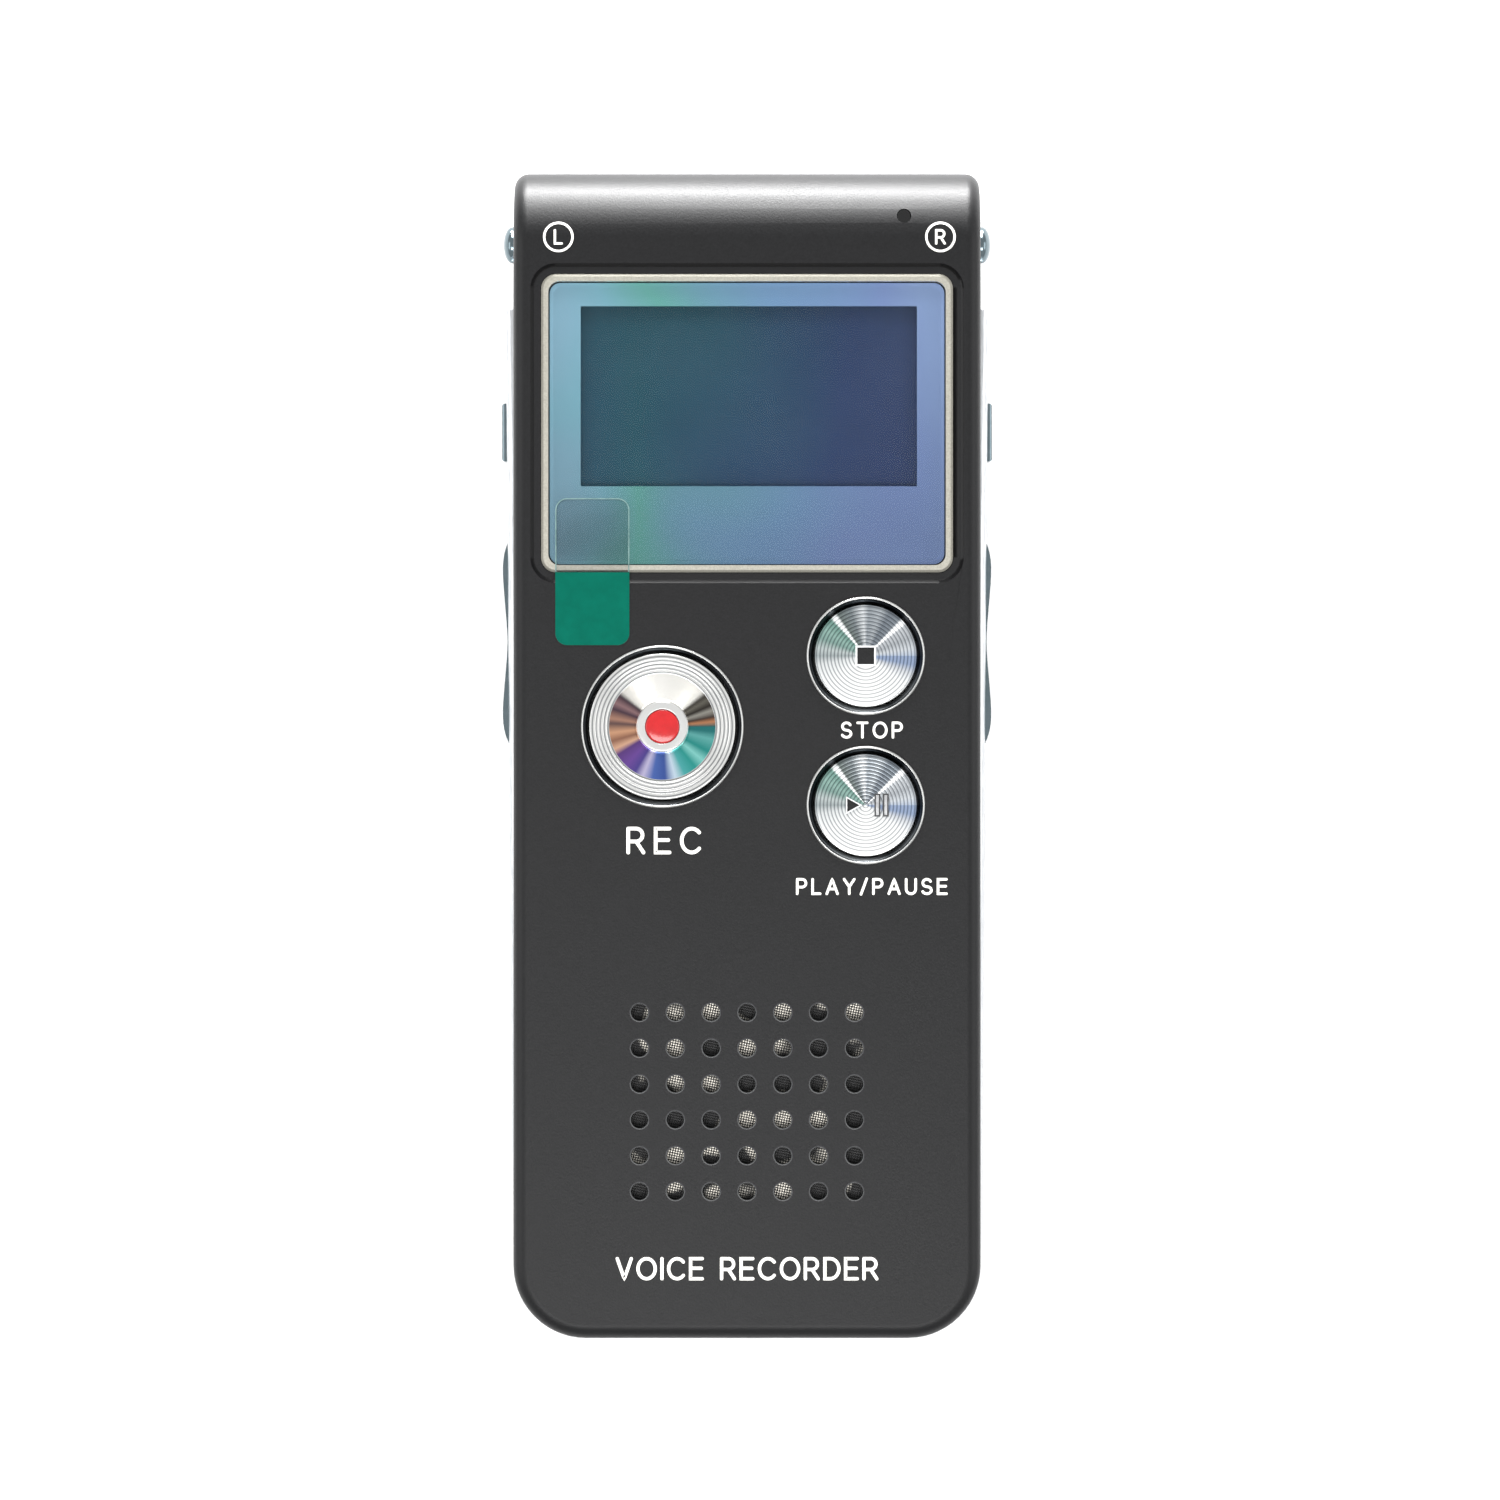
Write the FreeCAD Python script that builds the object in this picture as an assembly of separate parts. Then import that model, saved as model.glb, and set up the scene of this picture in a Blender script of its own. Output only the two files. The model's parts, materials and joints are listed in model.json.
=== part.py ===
import FreeCAD, Part
from FreeCAD import Vector
import math
import os

# Handheld voice recorder lying on its back.
# X: left to right, Y: towards the microphone end, Z: from the back to the front face. All in mm.

# ---- overall sizes -------------------------------------------------------------------------
CASE_LENGTH = 98.0
CASE_WIDTH = 39.2
CASE_THICKNESS = 12.0
WALL = 1.2
CORNER_RADIUS = 6.1
EDGE_RADIUS = 1.2
SEAM = 0.05
PLAY_GAP = 0.15
FIT_GAP = 0.02
OVERSHOOT = 1.0
CLOSE = 0.01
ALONG = 0.9
RIB_HALF = 1.0

# ---- window and display --------------------------------------------------------------------
WINDOW_SIDE_MARGIN = 2.35
WINDOW_TOP_GAP = 2.8
WINDOW_LENGTH_SHARE = 0.255
WINDOW_CORNER = 1.25
RECESS_MARGIN = 0.9
RECESS_DEPTH = 0.3
RECESS_SLOPE = 0.29
BEZEL_WIDTH = 0.6
LENS_THICKNESS = 1.0
LENS_BELOW_FACE = 0.1
LEDGE_WIDTH = 1.6
LEDGE_THICKNESS = 0.7
FILM_THICKNESS = 0.1
FILM_MARGIN = 0.4
TAB_WIDTH = 6.2
TAB_CORNER = 1.0
TAB_OVER_FILM = 6.2
TAB_BELOW_WINDOW = 6.1
TAB_INSET = 1.2
DISPLAY_OFFSET = 2.3
DISPLAY_LENGTH_SHARE = 0.78
DISPLAY_SIDE_GAP = 1.9
DISPLAY_WALL = 0.8
DISPLAY_FLOOR = 0.3
DISPLAY_LOW_SHARE = 1 / 3
BACKLIGHT_SHARE = 0.35
DISPLAY_LEG_RADIUS = 0.8
DISPLAY_LEG_INSET = 1.0
FLEX_SLOT_EXTRA = 1.0
FLEX_SLOT_LOW = 0.1
FLEX_SLOT_HIGH = 0.5
FLEX_WIDTH = 12.0
FLEX_SHEET = 0.15
FLEX_BEND_SHARE = 0.8
FLEX_FOLD = 0.6
FLEX_ENTRY = 0.3
FLEX_PLUG_LENGTH = 2.0
FLEX_PLUG_HEIGHT = 1.0
FLEX_PLUG_DROP = 3.2
FLEX_PLUG_CHEEK = 1.0

# ---- front buttons -------------------------------------------------------------------------
REC_RING_RADIUS = 6.82
KEY_RING_RADIUS = 4.97
RING_WIDTH = 0.55
RING_HEIGHT = 0.4
BUTTON_HEIGHT = 0.3
BUTTON_TRAVEL = 0.4
FLANGE_WIDTH = 0.6
FLANGE_THICKNESS_SHARE = 0.13
FLANGE_DROP_SHARE = 0.0926
STEM_RADIUS = 1.6
STEM_DROP_SHARE = 1 / 18
CARRIER_THICKNESS_SHARE = 0.148
CARRIER_DROP_SHARE = 0.33
CARRIER_BORDER = 2.0
CARRIER_CORNER = 1.5
CARRIER_LEG_RADIUS = 0.8
CARRIER_LEG_INSET = 1.0
CARRIER_LEG_BITE = 0.1
REC_EDGE = 0.15
REC_DISH_RADIUS = 4.5
REC_DISH_DEPTH = 0.8
REC_BOSS_RADIUS = 2.1
REC_BOSS_HEIGHT = 0.4
REC_DOT_RADIUS = 1.42
REC_DOT_DEPTH = 0.7
REC_DOT_EDGE = 0.1
REC_DOT_DOME = 0.05
REC_DOT_SHOULDER = 0.7
KEY_EDGE = 0.2
KEY_CROWN = 0.03
ICON_DEPTH = 0.12
ICON_SIZE = 1.46
ICON_BAR = 0.36
TRIANGLE_START = 1.07
TRIANGLE_SHARE = 0.86
BAR_STARTS = (0.5, 1.05)
BAR_STRETCH = 1.3
KEY_GAP = 2.56
WINDOW_TO_KEY = 2.03
REC_X_SHARE = 0.181
KEY_X_SHARE = 0.2535

# ---- side controls -------------------------------------------------------------------------
FRAME_OVERHANG = 0.85
FRAME_LOW_SHARE = 0.3
FRAME_EDGE = 0.7
FRAME_PAST_SEAM = 1.0
FRAME_SPREAD_MIDDLE = 0.55
FRAME_SPREAD_UPPER = 0.8
FRAME_UPPER_SHARE = 0.62
ROCKER_LENGTH = 17.7
ROCKER_RISE = 0.4
ROCKER_CREST = ((0, 0.125), (0.2, 0.35), (0.55, 1), (0.86, 0.7), (1, -0.6))
ROCKER_HEIGHT_SHARE = 0.28
ROCKER_TO_BUTTON = 17.65
SIDE_BUTTON_LENGTH = 4.9
SIDE_BUTTON_RISE = 0.4
SIDE_BUTTON_DROP = 10.4
SIDE_BUTTON_EDGE = 0.3
SIDE_TRAVEL = 0.35
SIDE_PLATE = 0.9
SIDE_PLATE_BACK = 0.7
SIDE_PLATE_EXTRA = 0.7
PIN_RADIUS = 0.4
PIN_CLEARANCE = 0.05
LUG_REACH = 1.7
SWITCH_LENGTH = 3.6
SWITCH_DEPTH = 1.6
SWITCH_HEIGHT_SHARE = 0.278
SWITCH_ARM_SHARE = 0.3
FRONT_SWITCH_SHARE = 0.36
PLUNGER_FLOOR_SHARE = 0.1

# ---- nose ----------------------------------------------------------------------------------
MIC_CAP_RADIUS = 1.55
MIC_CAP_RISE = 1.0
MIC_PLUG_RADIUS = 1.1
MIC_CAP_PROFILE = ((1, 0.6), (0.75, 0.9), (0, 1))
CAPSULE_RADIUS_SHARE = 0.283
CAPSULE_LENGTH = 1.9
BOOT_WALL = 0.6
LAMP_X_SHARE = 0.3355
LAMP_HOLE_RADIUS = 0.6
LAMP_LIFT_SHARE = 0.35
LAMP_SIZE = 1.6
LAMP_HEIGHT = 0.7
PIPE_ABOVE_BOARD = 0.8
PIPE_IN_HOLE_SHARE = 0.6
PIPE_COLLAR_STRETCH = 1.8
PIPE_COLLAR_LOW = 1.0
PIPE_COLLAR_DROP = 0.9
TONGUE_SHARE = 0.42
TONGUE_IN_SHARE = 0.25
TONGUE_OUT_SHARE = 0.625

# ---- speaker -------------------------------------------------------------------------------
HOLE_PITCH = 3.0
HOLE_RADIUS = 0.73
HOLE_COLUMNS = 7
HOLE_ROWS = 6
SPEAKER_RADIUS_PITCHES = 3.4
BASKET_WALL = 0.5
BASKET_FLOOR_SHARE = 0.3
MAGNET_SHARE = 0.54
MAGNET_ABOVE_BOARD = 0.4
CONE_SHEET = 0.12
CONE_DEPTH_SHARE = 0.35
CONE_PROFILE = ((0, 0.4), (0.4, 0), (0.85, 0.7), (1, 0.7))
MESH_THICKNESS = 0.18
MESH_MARGIN = 0.6
MESH_CORNER = 1.0
GASKET_THICKNESS = 0.4
GASKET_WIDTH = 1.4

# ---- board, battery and connectors ----------------------------------------------------------
BOARD_LEVEL_SHARE = 0.383
BOARD_THICKNESS = 0.8
BOARD_SIDE_GAP = 2.1
BOARD_END_GAP = 0.3
BOARD_SHOULDER_GAP = 1.0
BOARD_NECK_GAP = 0.6
BOARD_NECK_SHARE = 0.55
CHIP_HEIGHT = 1.0
MAIN_CHIP_SIZE = 9.0
MAIN_CHIP_SHARE = -0.16
MEMORY_CHIP_WIDTH = 8.0
MEMORY_CHIP_LENGTH = 12.0
MEMORY_CHIP_SHARE = 0.2
AMPLIFIER_SIZE = 4.0
AMPLIFIER_HEIGHT = 0.8
CRYSTAL_LENGTH = 3.2
CRYSTAL_WIDTH = 1.5
CRYSTAL_HEIGHT = 0.7
CAPACITOR_COUNT = 5
CAPACITOR_START = 3.5
CAPACITOR_STEP = 1.4
CAPACITOR_WIDTH = 0.8
CAPACITOR_LENGTH = 1.6
BOSS_RADIUS = 1.9
BOSS_INSET = 3.8
BOSS_LOW_SHARE = 0.335
BOSS_HIGH_SHARE = 0.133
SCREW_RADIUS = 0.7
SCREW_HEAD_RADIUS = 1.5
SCREW_HEAD_HEIGHT = 0.7
SCREW_SINK = 0.15
SCREW_CROSS_SHARE = 0.6
SCREW_CROSS_SLIM = 5
BOARD_SCREW_LOW_SHARE = 0.235
BOARD_SCREW_RADIUS = 0.55
BOARD_SCREW_HEAD = 1.0
BOARD_SCREW_HEAD_HEIGHT = 0.5
TAB_HALF = 1.5
BATTERY_PAD = 0.3
BATTERY_TOP_GAP = 0.3
BATTERY_SIDE_GAP = 0.9
BATTERY_END_GAP = 1.5
BATTERY_CORNER = 0.8
BATTERY_PAD_INSET = 2.0
LEAD_RADIUS = 0.35
LEAD_X = 1.2
LEAD_LENGTH = 3.2
LEAD_DROP = 1.2
BATTERY_PLUG_WIDTH = 6.0
BATTERY_PLUG_LENGTH = 2.5
BATTERY_PLUG_HEIGHT = 1.8
JACK_RADIUS = 1.8
JACK_COLLAR_SHARE = 0.465
JACK_BLOCK_WIDTH = 6.0
JACK_BLOCK_HEIGHT_SHARE = 0.4167
JACK_LENGTH_SHARE = 0.125
JACK_X_SHARE = 0.306
JACK_BACK_WALL = 1.0
JACK_CORNER_SHARE = 0.7
USB_WIDTH = 7.7
USB_HEIGHT = 3.9
USB_SHEET = 0.3
USB_LENGTH_SHARE = 0.092
USB_BLOCK_LENGTH = 2.0
USB_TONGUE_SHARE = 0.65
USB_TONGUE_START = 1.0
USB_TONGUE_BITE = 0.5
USB_TONGUE_LOW = -0.1
USB_TONGUE_HIGH = 0.8

# ---- worked-out levels -----------------------------------------------------------------------
HALF_LENGTH = CASE_LENGTH / 2
HALF_WIDTH = CASE_WIDTH / 2
MID = CASE_THICKNESS / 2
AXIS_Y = HALF_LENGTH - MID
INNER_TOP = CASE_THICKNESS - WALL
INNER_HALF = HALF_WIDTH - WALL
INNER_END = -HALF_LENGTH + WALL
FRAME_LOW = CASE_THICKNESS * FRAME_LOW_SHARE
FRAME_HIGH = CASE_THICKNESS - FRAME_LOW
FRAME_TOP_Y = AXIS_Y - math.sqrt(MID ** 2 - (FRAME_HIGH - MID) ** 2)
BOARD_LOW = CASE_THICKNESS * BOARD_LEVEL_SHARE
BOARD_TOP = BOARD_LOW + BOARD_THICKNESS
STACK = INNER_TOP - BOARD_TOP
JACK_BLOCK_HEIGHT = CASE_THICKNESS * JACK_BLOCK_HEIGHT_SHARE

WINDOW_WIDTH = CASE_WIDTH - 2 * WINDOW_SIDE_MARGIN
WINDOW_LENGTH = CASE_LENGTH * WINDOW_LENGTH_SHARE
WINDOW_HIGH = AXIS_Y - WINDOW_TOP_GAP
WINDOW_LOW = WINDOW_HIGH - WINDOW_LENGTH
WINDOW_Y = (WINDOW_HIGH + WINDOW_LOW) / 2
LENS_TOP = CASE_THICKNESS - LENS_BELOW_FACE
LENS_LOW = LENS_TOP - LENS_THICKNESS
DISPLAY_TOP = LENS_LOW - LEDGE_THICKNESS - SEAM
DISPLAY_LOW = BOARD_TOP + STACK * DISPLAY_LOW_SHARE
DISPLAY_WIDTH = WINDOW_WIDTH - DISPLAY_SIDE_GAP
DISPLAY_LENGTH = WINDOW_LENGTH * DISPLAY_LENGTH_SHARE
DISPLAY_Y = WINDOW_Y + DISPLAY_OFFSET
BACKLIGHT_TOP = DISPLAY_LOW + DISPLAY_FLOOR + (DISPLAY_TOP - DISPLAY_LOW) * BACKLIGHT_SHARE
FLEX_PLUG_Y = DISPLAY_Y - DISPLAY_LENGTH / 2 - FLEX_PLUG_DROP

KEY_X = CASE_WIDTH * KEY_X_SHARE
REC_X = -CASE_WIDTH * REC_X_SHARE
STOP_Y = WINDOW_LOW - WINDOW_TO_KEY - KEY_RING_RADIUS
PLAY_Y = STOP_Y - 2 * KEY_RING_RADIUS - KEY_GAP
REC_Y = WINDOW_LOW - TAB_BELOW_WINDOW - REC_RING_RADIUS
FLANGE_TOP = INNER_TOP - STACK * FLANGE_DROP_SHARE
FLANGE_LOW = FLANGE_TOP - STACK * FLANGE_THICKNESS_SHARE
CARRIER_TOP = INNER_TOP - STACK * CARRIER_DROP_SHARE
CARRIER_LOW = CARRIER_TOP - STACK * CARRIER_THICKNESS_SHARE
STEM_LOW = CARRIER_LOW - STACK * STEM_DROP_SHARE
SWITCH_TOP = BOARD_TOP + STACK * FRONT_SWITCH_SHARE
PLUNGER_RADIUS = STEM_RADIUS / 2
PLUNGER_LOW = BOARD_TOP + STACK * PLUNGER_FLOOR_SHARE + BUTTON_TRAVEL

SPEAKER_Y = (PLAY_Y - KEY_RING_RADIUS - HALF_LENGTH) / 2
SPEAKER_RADIUS = HOLE_PITCH * SPEAKER_RADIUS_PITCHES
MESH_LOW = INNER_TOP - MESH_THICKNESS - SEAM
GASKET_LOW = MESH_LOW - GASKET_THICKNESS
BASKET_LOW = MID + JACK_BLOCK_HEIGHT / 2 + SEAM
CARRIER_MARGIN = STEM_RADIUS + CARRIER_BORDER
SOUND_PARTS_Y = (PLAY_Y - CARRIER_MARGIN + SPEAKER_Y + SPEAKER_RADIUS) / 2

SIDE_BUTTON_Y = FRAME_TOP_Y - SIDE_BUTTON_DROP
ROCKER_Y = SIDE_BUTTON_Y - ROCKER_TO_BUTTON
SIDE_HEIGHT = CASE_THICKNESS * ROCKER_HEIGHT_SHARE
PLATE_OUT = INNER_HALF - SIDE_PLATE_BACK
PLATE_IN = PLATE_OUT - SIDE_PLATE
PIVOT_X = PLATE_OUT
SWITCH_OUT = PLATE_IN - SIDE_TRAVEL - PLAY_GAP
BOSS_X = HALF_WIDTH - BOSS_INSET
BOSS_YS = (-CASE_LENGTH * BOSS_LOW_SHARE, -CASE_LENGTH * BOSS_HIGH_SHARE)
BOARD_SCREW_YS = (
    -CASE_LENGTH * BOARD_SCREW_LOW_SHARE,
    (ROCKER_Y + ROCKER_LENGTH / 2 + SIDE_BUTTON_Y - SIDE_BUTTON_LENGTH / 2) / 2,
)
JACK_COLLAR = (FRAME_HIGH - FRAME_LOW) * JACK_COLLAR_SHARE
JACK_LENGTH = CASE_LENGTH * JACK_LENGTH_SHARE
JACK_X = CASE_WIDTH * JACK_X_SHARE
JACK_END = -HALF_LENGTH + JACK_LENGTH
USB_END = -HALF_LENGTH + CASE_LENGTH * USB_LENGTH_SHARE
CAPSULE_X = INNER_HALF - SEAM
CAPSULE_RADIUS = MID * CAPSULE_RADIUS_SHARE
TONGUE_LENGTH = MID * TONGUE_SHARE
LAMP_X = CASE_WIDTH * LAMP_X_SHARE
LAMP_Y = AXIS_Y + MID * LAMP_LIFT_SHARE
BOARD_HALF = INNER_HALF - BOARD_SIDE_GAP
BASKET_FLOOR = BASKET_LOW + (GASKET_LOW - BASKET_LOW) * BASKET_FLOOR_SHARE
BUTTON_TOP = CASE_THICKNESS + BUTTON_HEIGHT
REC_FLOOR = BUTTON_TOP - REC_DISH_DEPTH
REC_BOSS_TOP = REC_FLOOR + REC_BOSS_HEIGHT
SCREW_HEAD_TOP = SCREW_SINK + SCREW_HEAD_HEIGHT
FLEX_FOLD_Y = DISPLAY_Y - DISPLAY_LENGTH / 2 - FLEX_FOLD
FLEX_PLUG_LEVEL = BOARD_TOP + FLEX_PLUG_HEIGHT / 2
BATTERY_HALF = BOSS_X - BOSS_RADIUS - BATTERY_SIDE_GAP
BATTERY_LOW_Y = JACK_END + BATTERY_END_GAP
BATTERY_HIGH_Y = BOARD_SCREW_YS[1] - BATTERY_END_GAP
BATTERY_LOW = WALL + BATTERY_PAD
BATTERY_TOP = BOARD_LOW - BATTERY_TOP_GAP


# ---- small helpers ---------------------------------------------------------------------------
def block(x0, x1, y0, y1, z0, z1):
    """A box between two corners."""
    return Part.makeBox(x1 - x0, y1 - y0, z1 - z0, Vector(x0, y0, z0))


def rod(radius, x, y, z0, z1):
    """An upright cylinder."""
    return Part.makeCylinder(radius, z1 - z0, Vector(x, y, z0))


def cross_rod(radius, x0, x1, y, z):
    """A cylinder lying along X."""
    return Part.makeCylinder(radius, x1 - x0, Vector(x0, y, z), Vector(1, 0, 0))


def long_rod(radius, x, y0, y1, z):
    """A cylinder lying along Y."""
    return Part.makeCylinder(radius, y1 - y0, Vector(x, y0, z), Vector(0, 1, 0))


def upright_edges(shape):
    """The edges that start out along Z."""
    return [e for e in shape.Edges if abs(e.tangentAt(e.FirstParameter).z) > ALONG]


def plate(cx, cy, width, length, z0, z1, corner):
    """A flat plate with rounded corners."""
    body = block(cx - width / 2, cx + width / 2, cy - length / 2, cy + length / 2, z0, z1)
    return body.makeFillet(corner, upright_edges(body))


def turned(points, x, y):
    """A solid turned about the upright line through x, y from (radius, height) points."""
    outline = [Vector(r, 0, z) for r, z in points]
    face = Part.Face(Part.makePolygon(outline + [outline[0]]))
    solid = face.revolve(Vector(0, 0, 0), Vector(0, 0, 1), 360)
    solid.translate(Vector(x, y, 0))
    return solid


def prism(points, z0, z1):
    """An upright prism on a closed line of (x, y) points."""
    outline = [Vector(x, y, z0) for x, y in points]
    face = Part.Face(Part.makePolygon(outline + [outline[0]]))
    return face.extrude(Vector(0, 0, z1 - z0))


def mirrored(shape):
    """The same shape on the other side of the middle."""
    return shape.mirror(Vector(0, 0, 0), Vector(1, 0, 0))


def both_sides(shape):
    """A shape and its mirror image as one group of separate solids."""
    return Part.makeCompound(shape.Solids + mirrored(shape).Solids)


def case_form(inset):
    """The whole case as one form: flat back and front, a half-round nose, rounded bottom corners."""
    half = HALF_WIDTH - inset
    low = -HALF_LENGTH + inset
    nose = MID - inset
    back = inset
    front = CASE_THICKNESS - inset
    corners = [
        Vector(-half, low, back),
        Vector(-half, AXIS_Y, back),
        Vector(-half, AXIS_Y + nose, MID),
        Vector(-half, AXIS_Y, front),
        Vector(-half, low, front),
    ]
    side = Part.Wire([
        Part.makeLine(corners[0], corners[1]),
        Part.Arc(corners[1], corners[2], corners[3]).toShape(),
        Part.makeLine(corners[3], corners[4]),
        Part.makeLine(corners[4], corners[0]),
    ])
    form = Part.Face(side).extrude(Vector(2 * half, 0, 0))
    bottom = [e for e in upright_edges(form) if e.CenterOfMass.y < 0]
    return form.makeFillet(CORNER_RADIUS - inset, bottom)


def soft_case_form():
    """The case form with its long and end edges rounded."""
    form = case_form(0)
    rim = []
    for edge in form.Edges:
        along = edge.tangentAt((edge.FirstParameter + edge.LastParameter) / 2)
        middle = edge.CenterOfMass
        straight = edge.Curve.TypeId == "Part::GeomLine"
        upright = straight and abs(along.z) > ALONG
        nose_line = straight and abs(along.x) > ALONG and middle.y > 0
        if not upright and not nose_line:
            rim.append(edge)
    return form.makeFillet(EDGE_RADIUS, rim)


def nose_zone(grow):
    """Everything on the nose's side of the seam: a round bar with the space beyond it."""
    reach = HALF_WIDTH + FRAME_OVERHANG + MIC_CAP_RISE
    bar = cross_rod(MID + grow, -reach, reach, AXIS_Y, MID)
    far = HALF_LENGTH + OVERSHOOT
    middle = bar.common(block(-reach, reach, 0, far, FRAME_LOW, FRAME_HIGH))
    beyond = block(-reach, reach, FRAME_TOP_Y - grow, far, -OVERSHOOT, CASE_THICKNESS + OVERSHOOT)
    return middle.fuse(beyond)


def ring_hole(x, y, radius):
    return rod(radius + FIT_GAP, x, y, 0, CASE_THICKNESS + OVERSHOOT)


# ---- case ------------------------------------------------------------------------------------
def front_cover():
    """Black aluminium front with the half-round nose that wraps round to the back."""
    reach = HALF_WIDTH + OVERSHOOT
    below = block(
        -reach, reach, -HALF_LENGTH - OVERSHOOT, HALF_LENGTH, -OVERSHOOT, FRAME_HIGH + SEAM,
    )
    cover = soft_case_form().cut(below.cut(nose_zone(0)))
    cover = cover.cut(case_form(WALL))
    ledge = plate(
        0, WINDOW_Y, WINDOW_WIDTH + WALL, WINDOW_LENGTH + WALL,
        DISPLAY_TOP + SEAM, CASE_THICKNESS - RECESS_DEPTH - WALL / 4, WINDOW_CORNER,
    )
    cover = cover.fuse(ledge)
    for post_y in BOSS_YS:
        post = rod(BOSS_RADIUS, BOSS_X, post_y, FRAME_HIGH + SEAM, INNER_TOP + WALL / 2)
        cover = cover.fuse([post, mirrored(post)])
    recess = plate(
        0, WINDOW_Y, WINDOW_WIDTH + 2 * RECESS_MARGIN, WINDOW_LENGTH + 2 * RECESS_MARGIN,
        CASE_THICKNESS - RECESS_DEPTH, CASE_THICKNESS + OVERSHOOT, WINDOW_CORNER + RECESS_MARGIN,
    )
    floor_edges = [
        e for e in recess.Edges
        if e.BoundBox.ZMax < CASE_THICKNESS - RECESS_DEPTH / 2 and e.BoundBox.ZLength < RECESS_DEPTH / 2
    ]
    recess = recess.makeChamfer(RECESS_SLOPE, floor_edges)
    pocket = plate(
        0, WINDOW_Y, WINDOW_WIDTH + 2 * SEAM, WINDOW_LENGTH + 2 * SEAM,
        LENS_LOW, CASE_THICKNESS + OVERSHOOT, WINDOW_CORNER + SEAM,
    )
    opening = plate(
        0, DISPLAY_Y, DISPLAY_WIDTH - 2 * LEDGE_WIDTH, DISPLAY_LENGTH - 2 * LEDGE_WIDTH,
        BOARD_TOP, CASE_THICKNESS, WINDOW_CORNER,
    )
    cuts = [
        recess, pocket, opening,
        ring_hole(REC_X, REC_Y, REC_RING_RADIUS),
        ring_hole(KEY_X, STOP_Y, KEY_RING_RADIUS),
        ring_hole(KEY_X, PLAY_Y, KEY_RING_RADIUS),
        rod(LAMP_HOLE_RADIUS, LAMP_X, LAMP_Y, MID, CASE_THICKNESS + OVERSHOOT),
        cross_rod(MIC_PLUG_RADIUS + FIT_GAP, -reach, reach, AXIS_Y, MID),
    ]
    for post_y in BOSS_YS:
        thread = rod(SCREW_RADIUS + FIT_GAP, BOSS_X, post_y, 0, INNER_TOP)
        cuts += [thread, mirrored(thread)]
    for x, y in speaker_hole_centres():
        cuts.append(rod(HOLE_RADIUS, x, y, MID, CASE_THICKNESS + OVERSHOOT))
    return cover.cut(cuts)


def speaker_hole_centres():
    """Rows and columns of the speaker holes."""
    centres = []
    for column in range(HOLE_COLUMNS):
        for row in range(HOLE_ROWS):
            x = (column - (HOLE_COLUMNS - 1) / 2) * HOLE_PITCH
            y = SPEAKER_Y + (row - (HOLE_ROWS - 1) / 2) * HOLE_PITCH
            centres.append((x, y))
    return centres


def rear_cover():
    """Black back plate with rounded edges, screw recesses and two tongues that hook under the nose."""
    reach = HALF_WIDTH + OVERSHOOT
    above = block(
        -reach, reach, -HALF_LENGTH - OVERSHOOT, HALF_LENGTH,
        FRAME_LOW - SEAM, CASE_THICKNESS + OVERSHOOT,
    )
    cover = soft_case_form().cut([above, nose_zone(SEAM)])
    cover = cover.cut(case_form(WALL))
    tongue_in = HALF_WIDTH * TONGUE_IN_SHARE
    tongue_out = HALF_WIDTH * TONGUE_OUT_SHARE
    tongue_low = FRAME_TOP_Y - TONGUE_LENGTH
    tongue_top = WALL + SEAM + WALL / 2
    tongue = block(
        tongue_in, tongue_out, tongue_low, FRAME_TOP_Y + TONGUE_LENGTH, WALL + SEAM, tongue_top,
    )
    root = block(tongue_in, tongue_out, tongue_low, FRAME_TOP_Y - SEAM, WALL / 2, tongue_top)
    cover = cover.fuse([tongue, root, mirrored(tongue), mirrored(root)])
    cuts = []
    for y in BOSS_YS:
        hole = rod(SCREW_RADIUS + PLAY_GAP, BOSS_X, y, -OVERSHOOT, FRAME_LOW)
        sink = rod(SCREW_HEAD_RADIUS + PLAY_GAP, BOSS_X, y, -OVERSHOOT, SCREW_HEAD_TOP)
        cuts += [hole, sink, mirrored(hole), mirrored(sink)]
    return cover.cut(cuts)


def half_frame_plan():
    """Right half of the silver frame from above: it widens from the bottom corner to the nose."""
    half = HALF_WIDTH
    low = -HALF_LENGTH
    end = FRAME_TOP_Y + FRAME_PAST_SEAM
    turn = CORNER_RADIUS * (1 - math.sqrt(0.5))
    start = Vector(half, low + CORNER_RADIUS, 0)
    top = Vector(half + FRAME_OVERHANG, end, 0)
    flank = Part.BSplineCurve()
    flank.interpolate([
        start,
        Vector(half + FRAME_OVERHANG * FRAME_SPREAD_MIDDLE, 0, 0),
        Vector(half + FRAME_OVERHANG * FRAME_SPREAD_UPPER, AXIS_Y * FRAME_UPPER_SHARE, 0),
        top,
    ])
    bend = Part.Arc(
        Vector(half - CORNER_RADIUS, low, 0), Vector(half - turn, low + turn, 0), start,
    )
    return Part.Face(Part.Wire([
        Part.makeLine(Vector(0, low, 0), Vector(half - CORNER_RADIUS, low, 0)),
        bend.toShape(),
        flank.toShape(),
        Part.makeLine(top, Vector(0, end, 0)),
        Part.makeLine(Vector(0, end, 0), Vector(0, low, 0)),
    ]))


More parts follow.
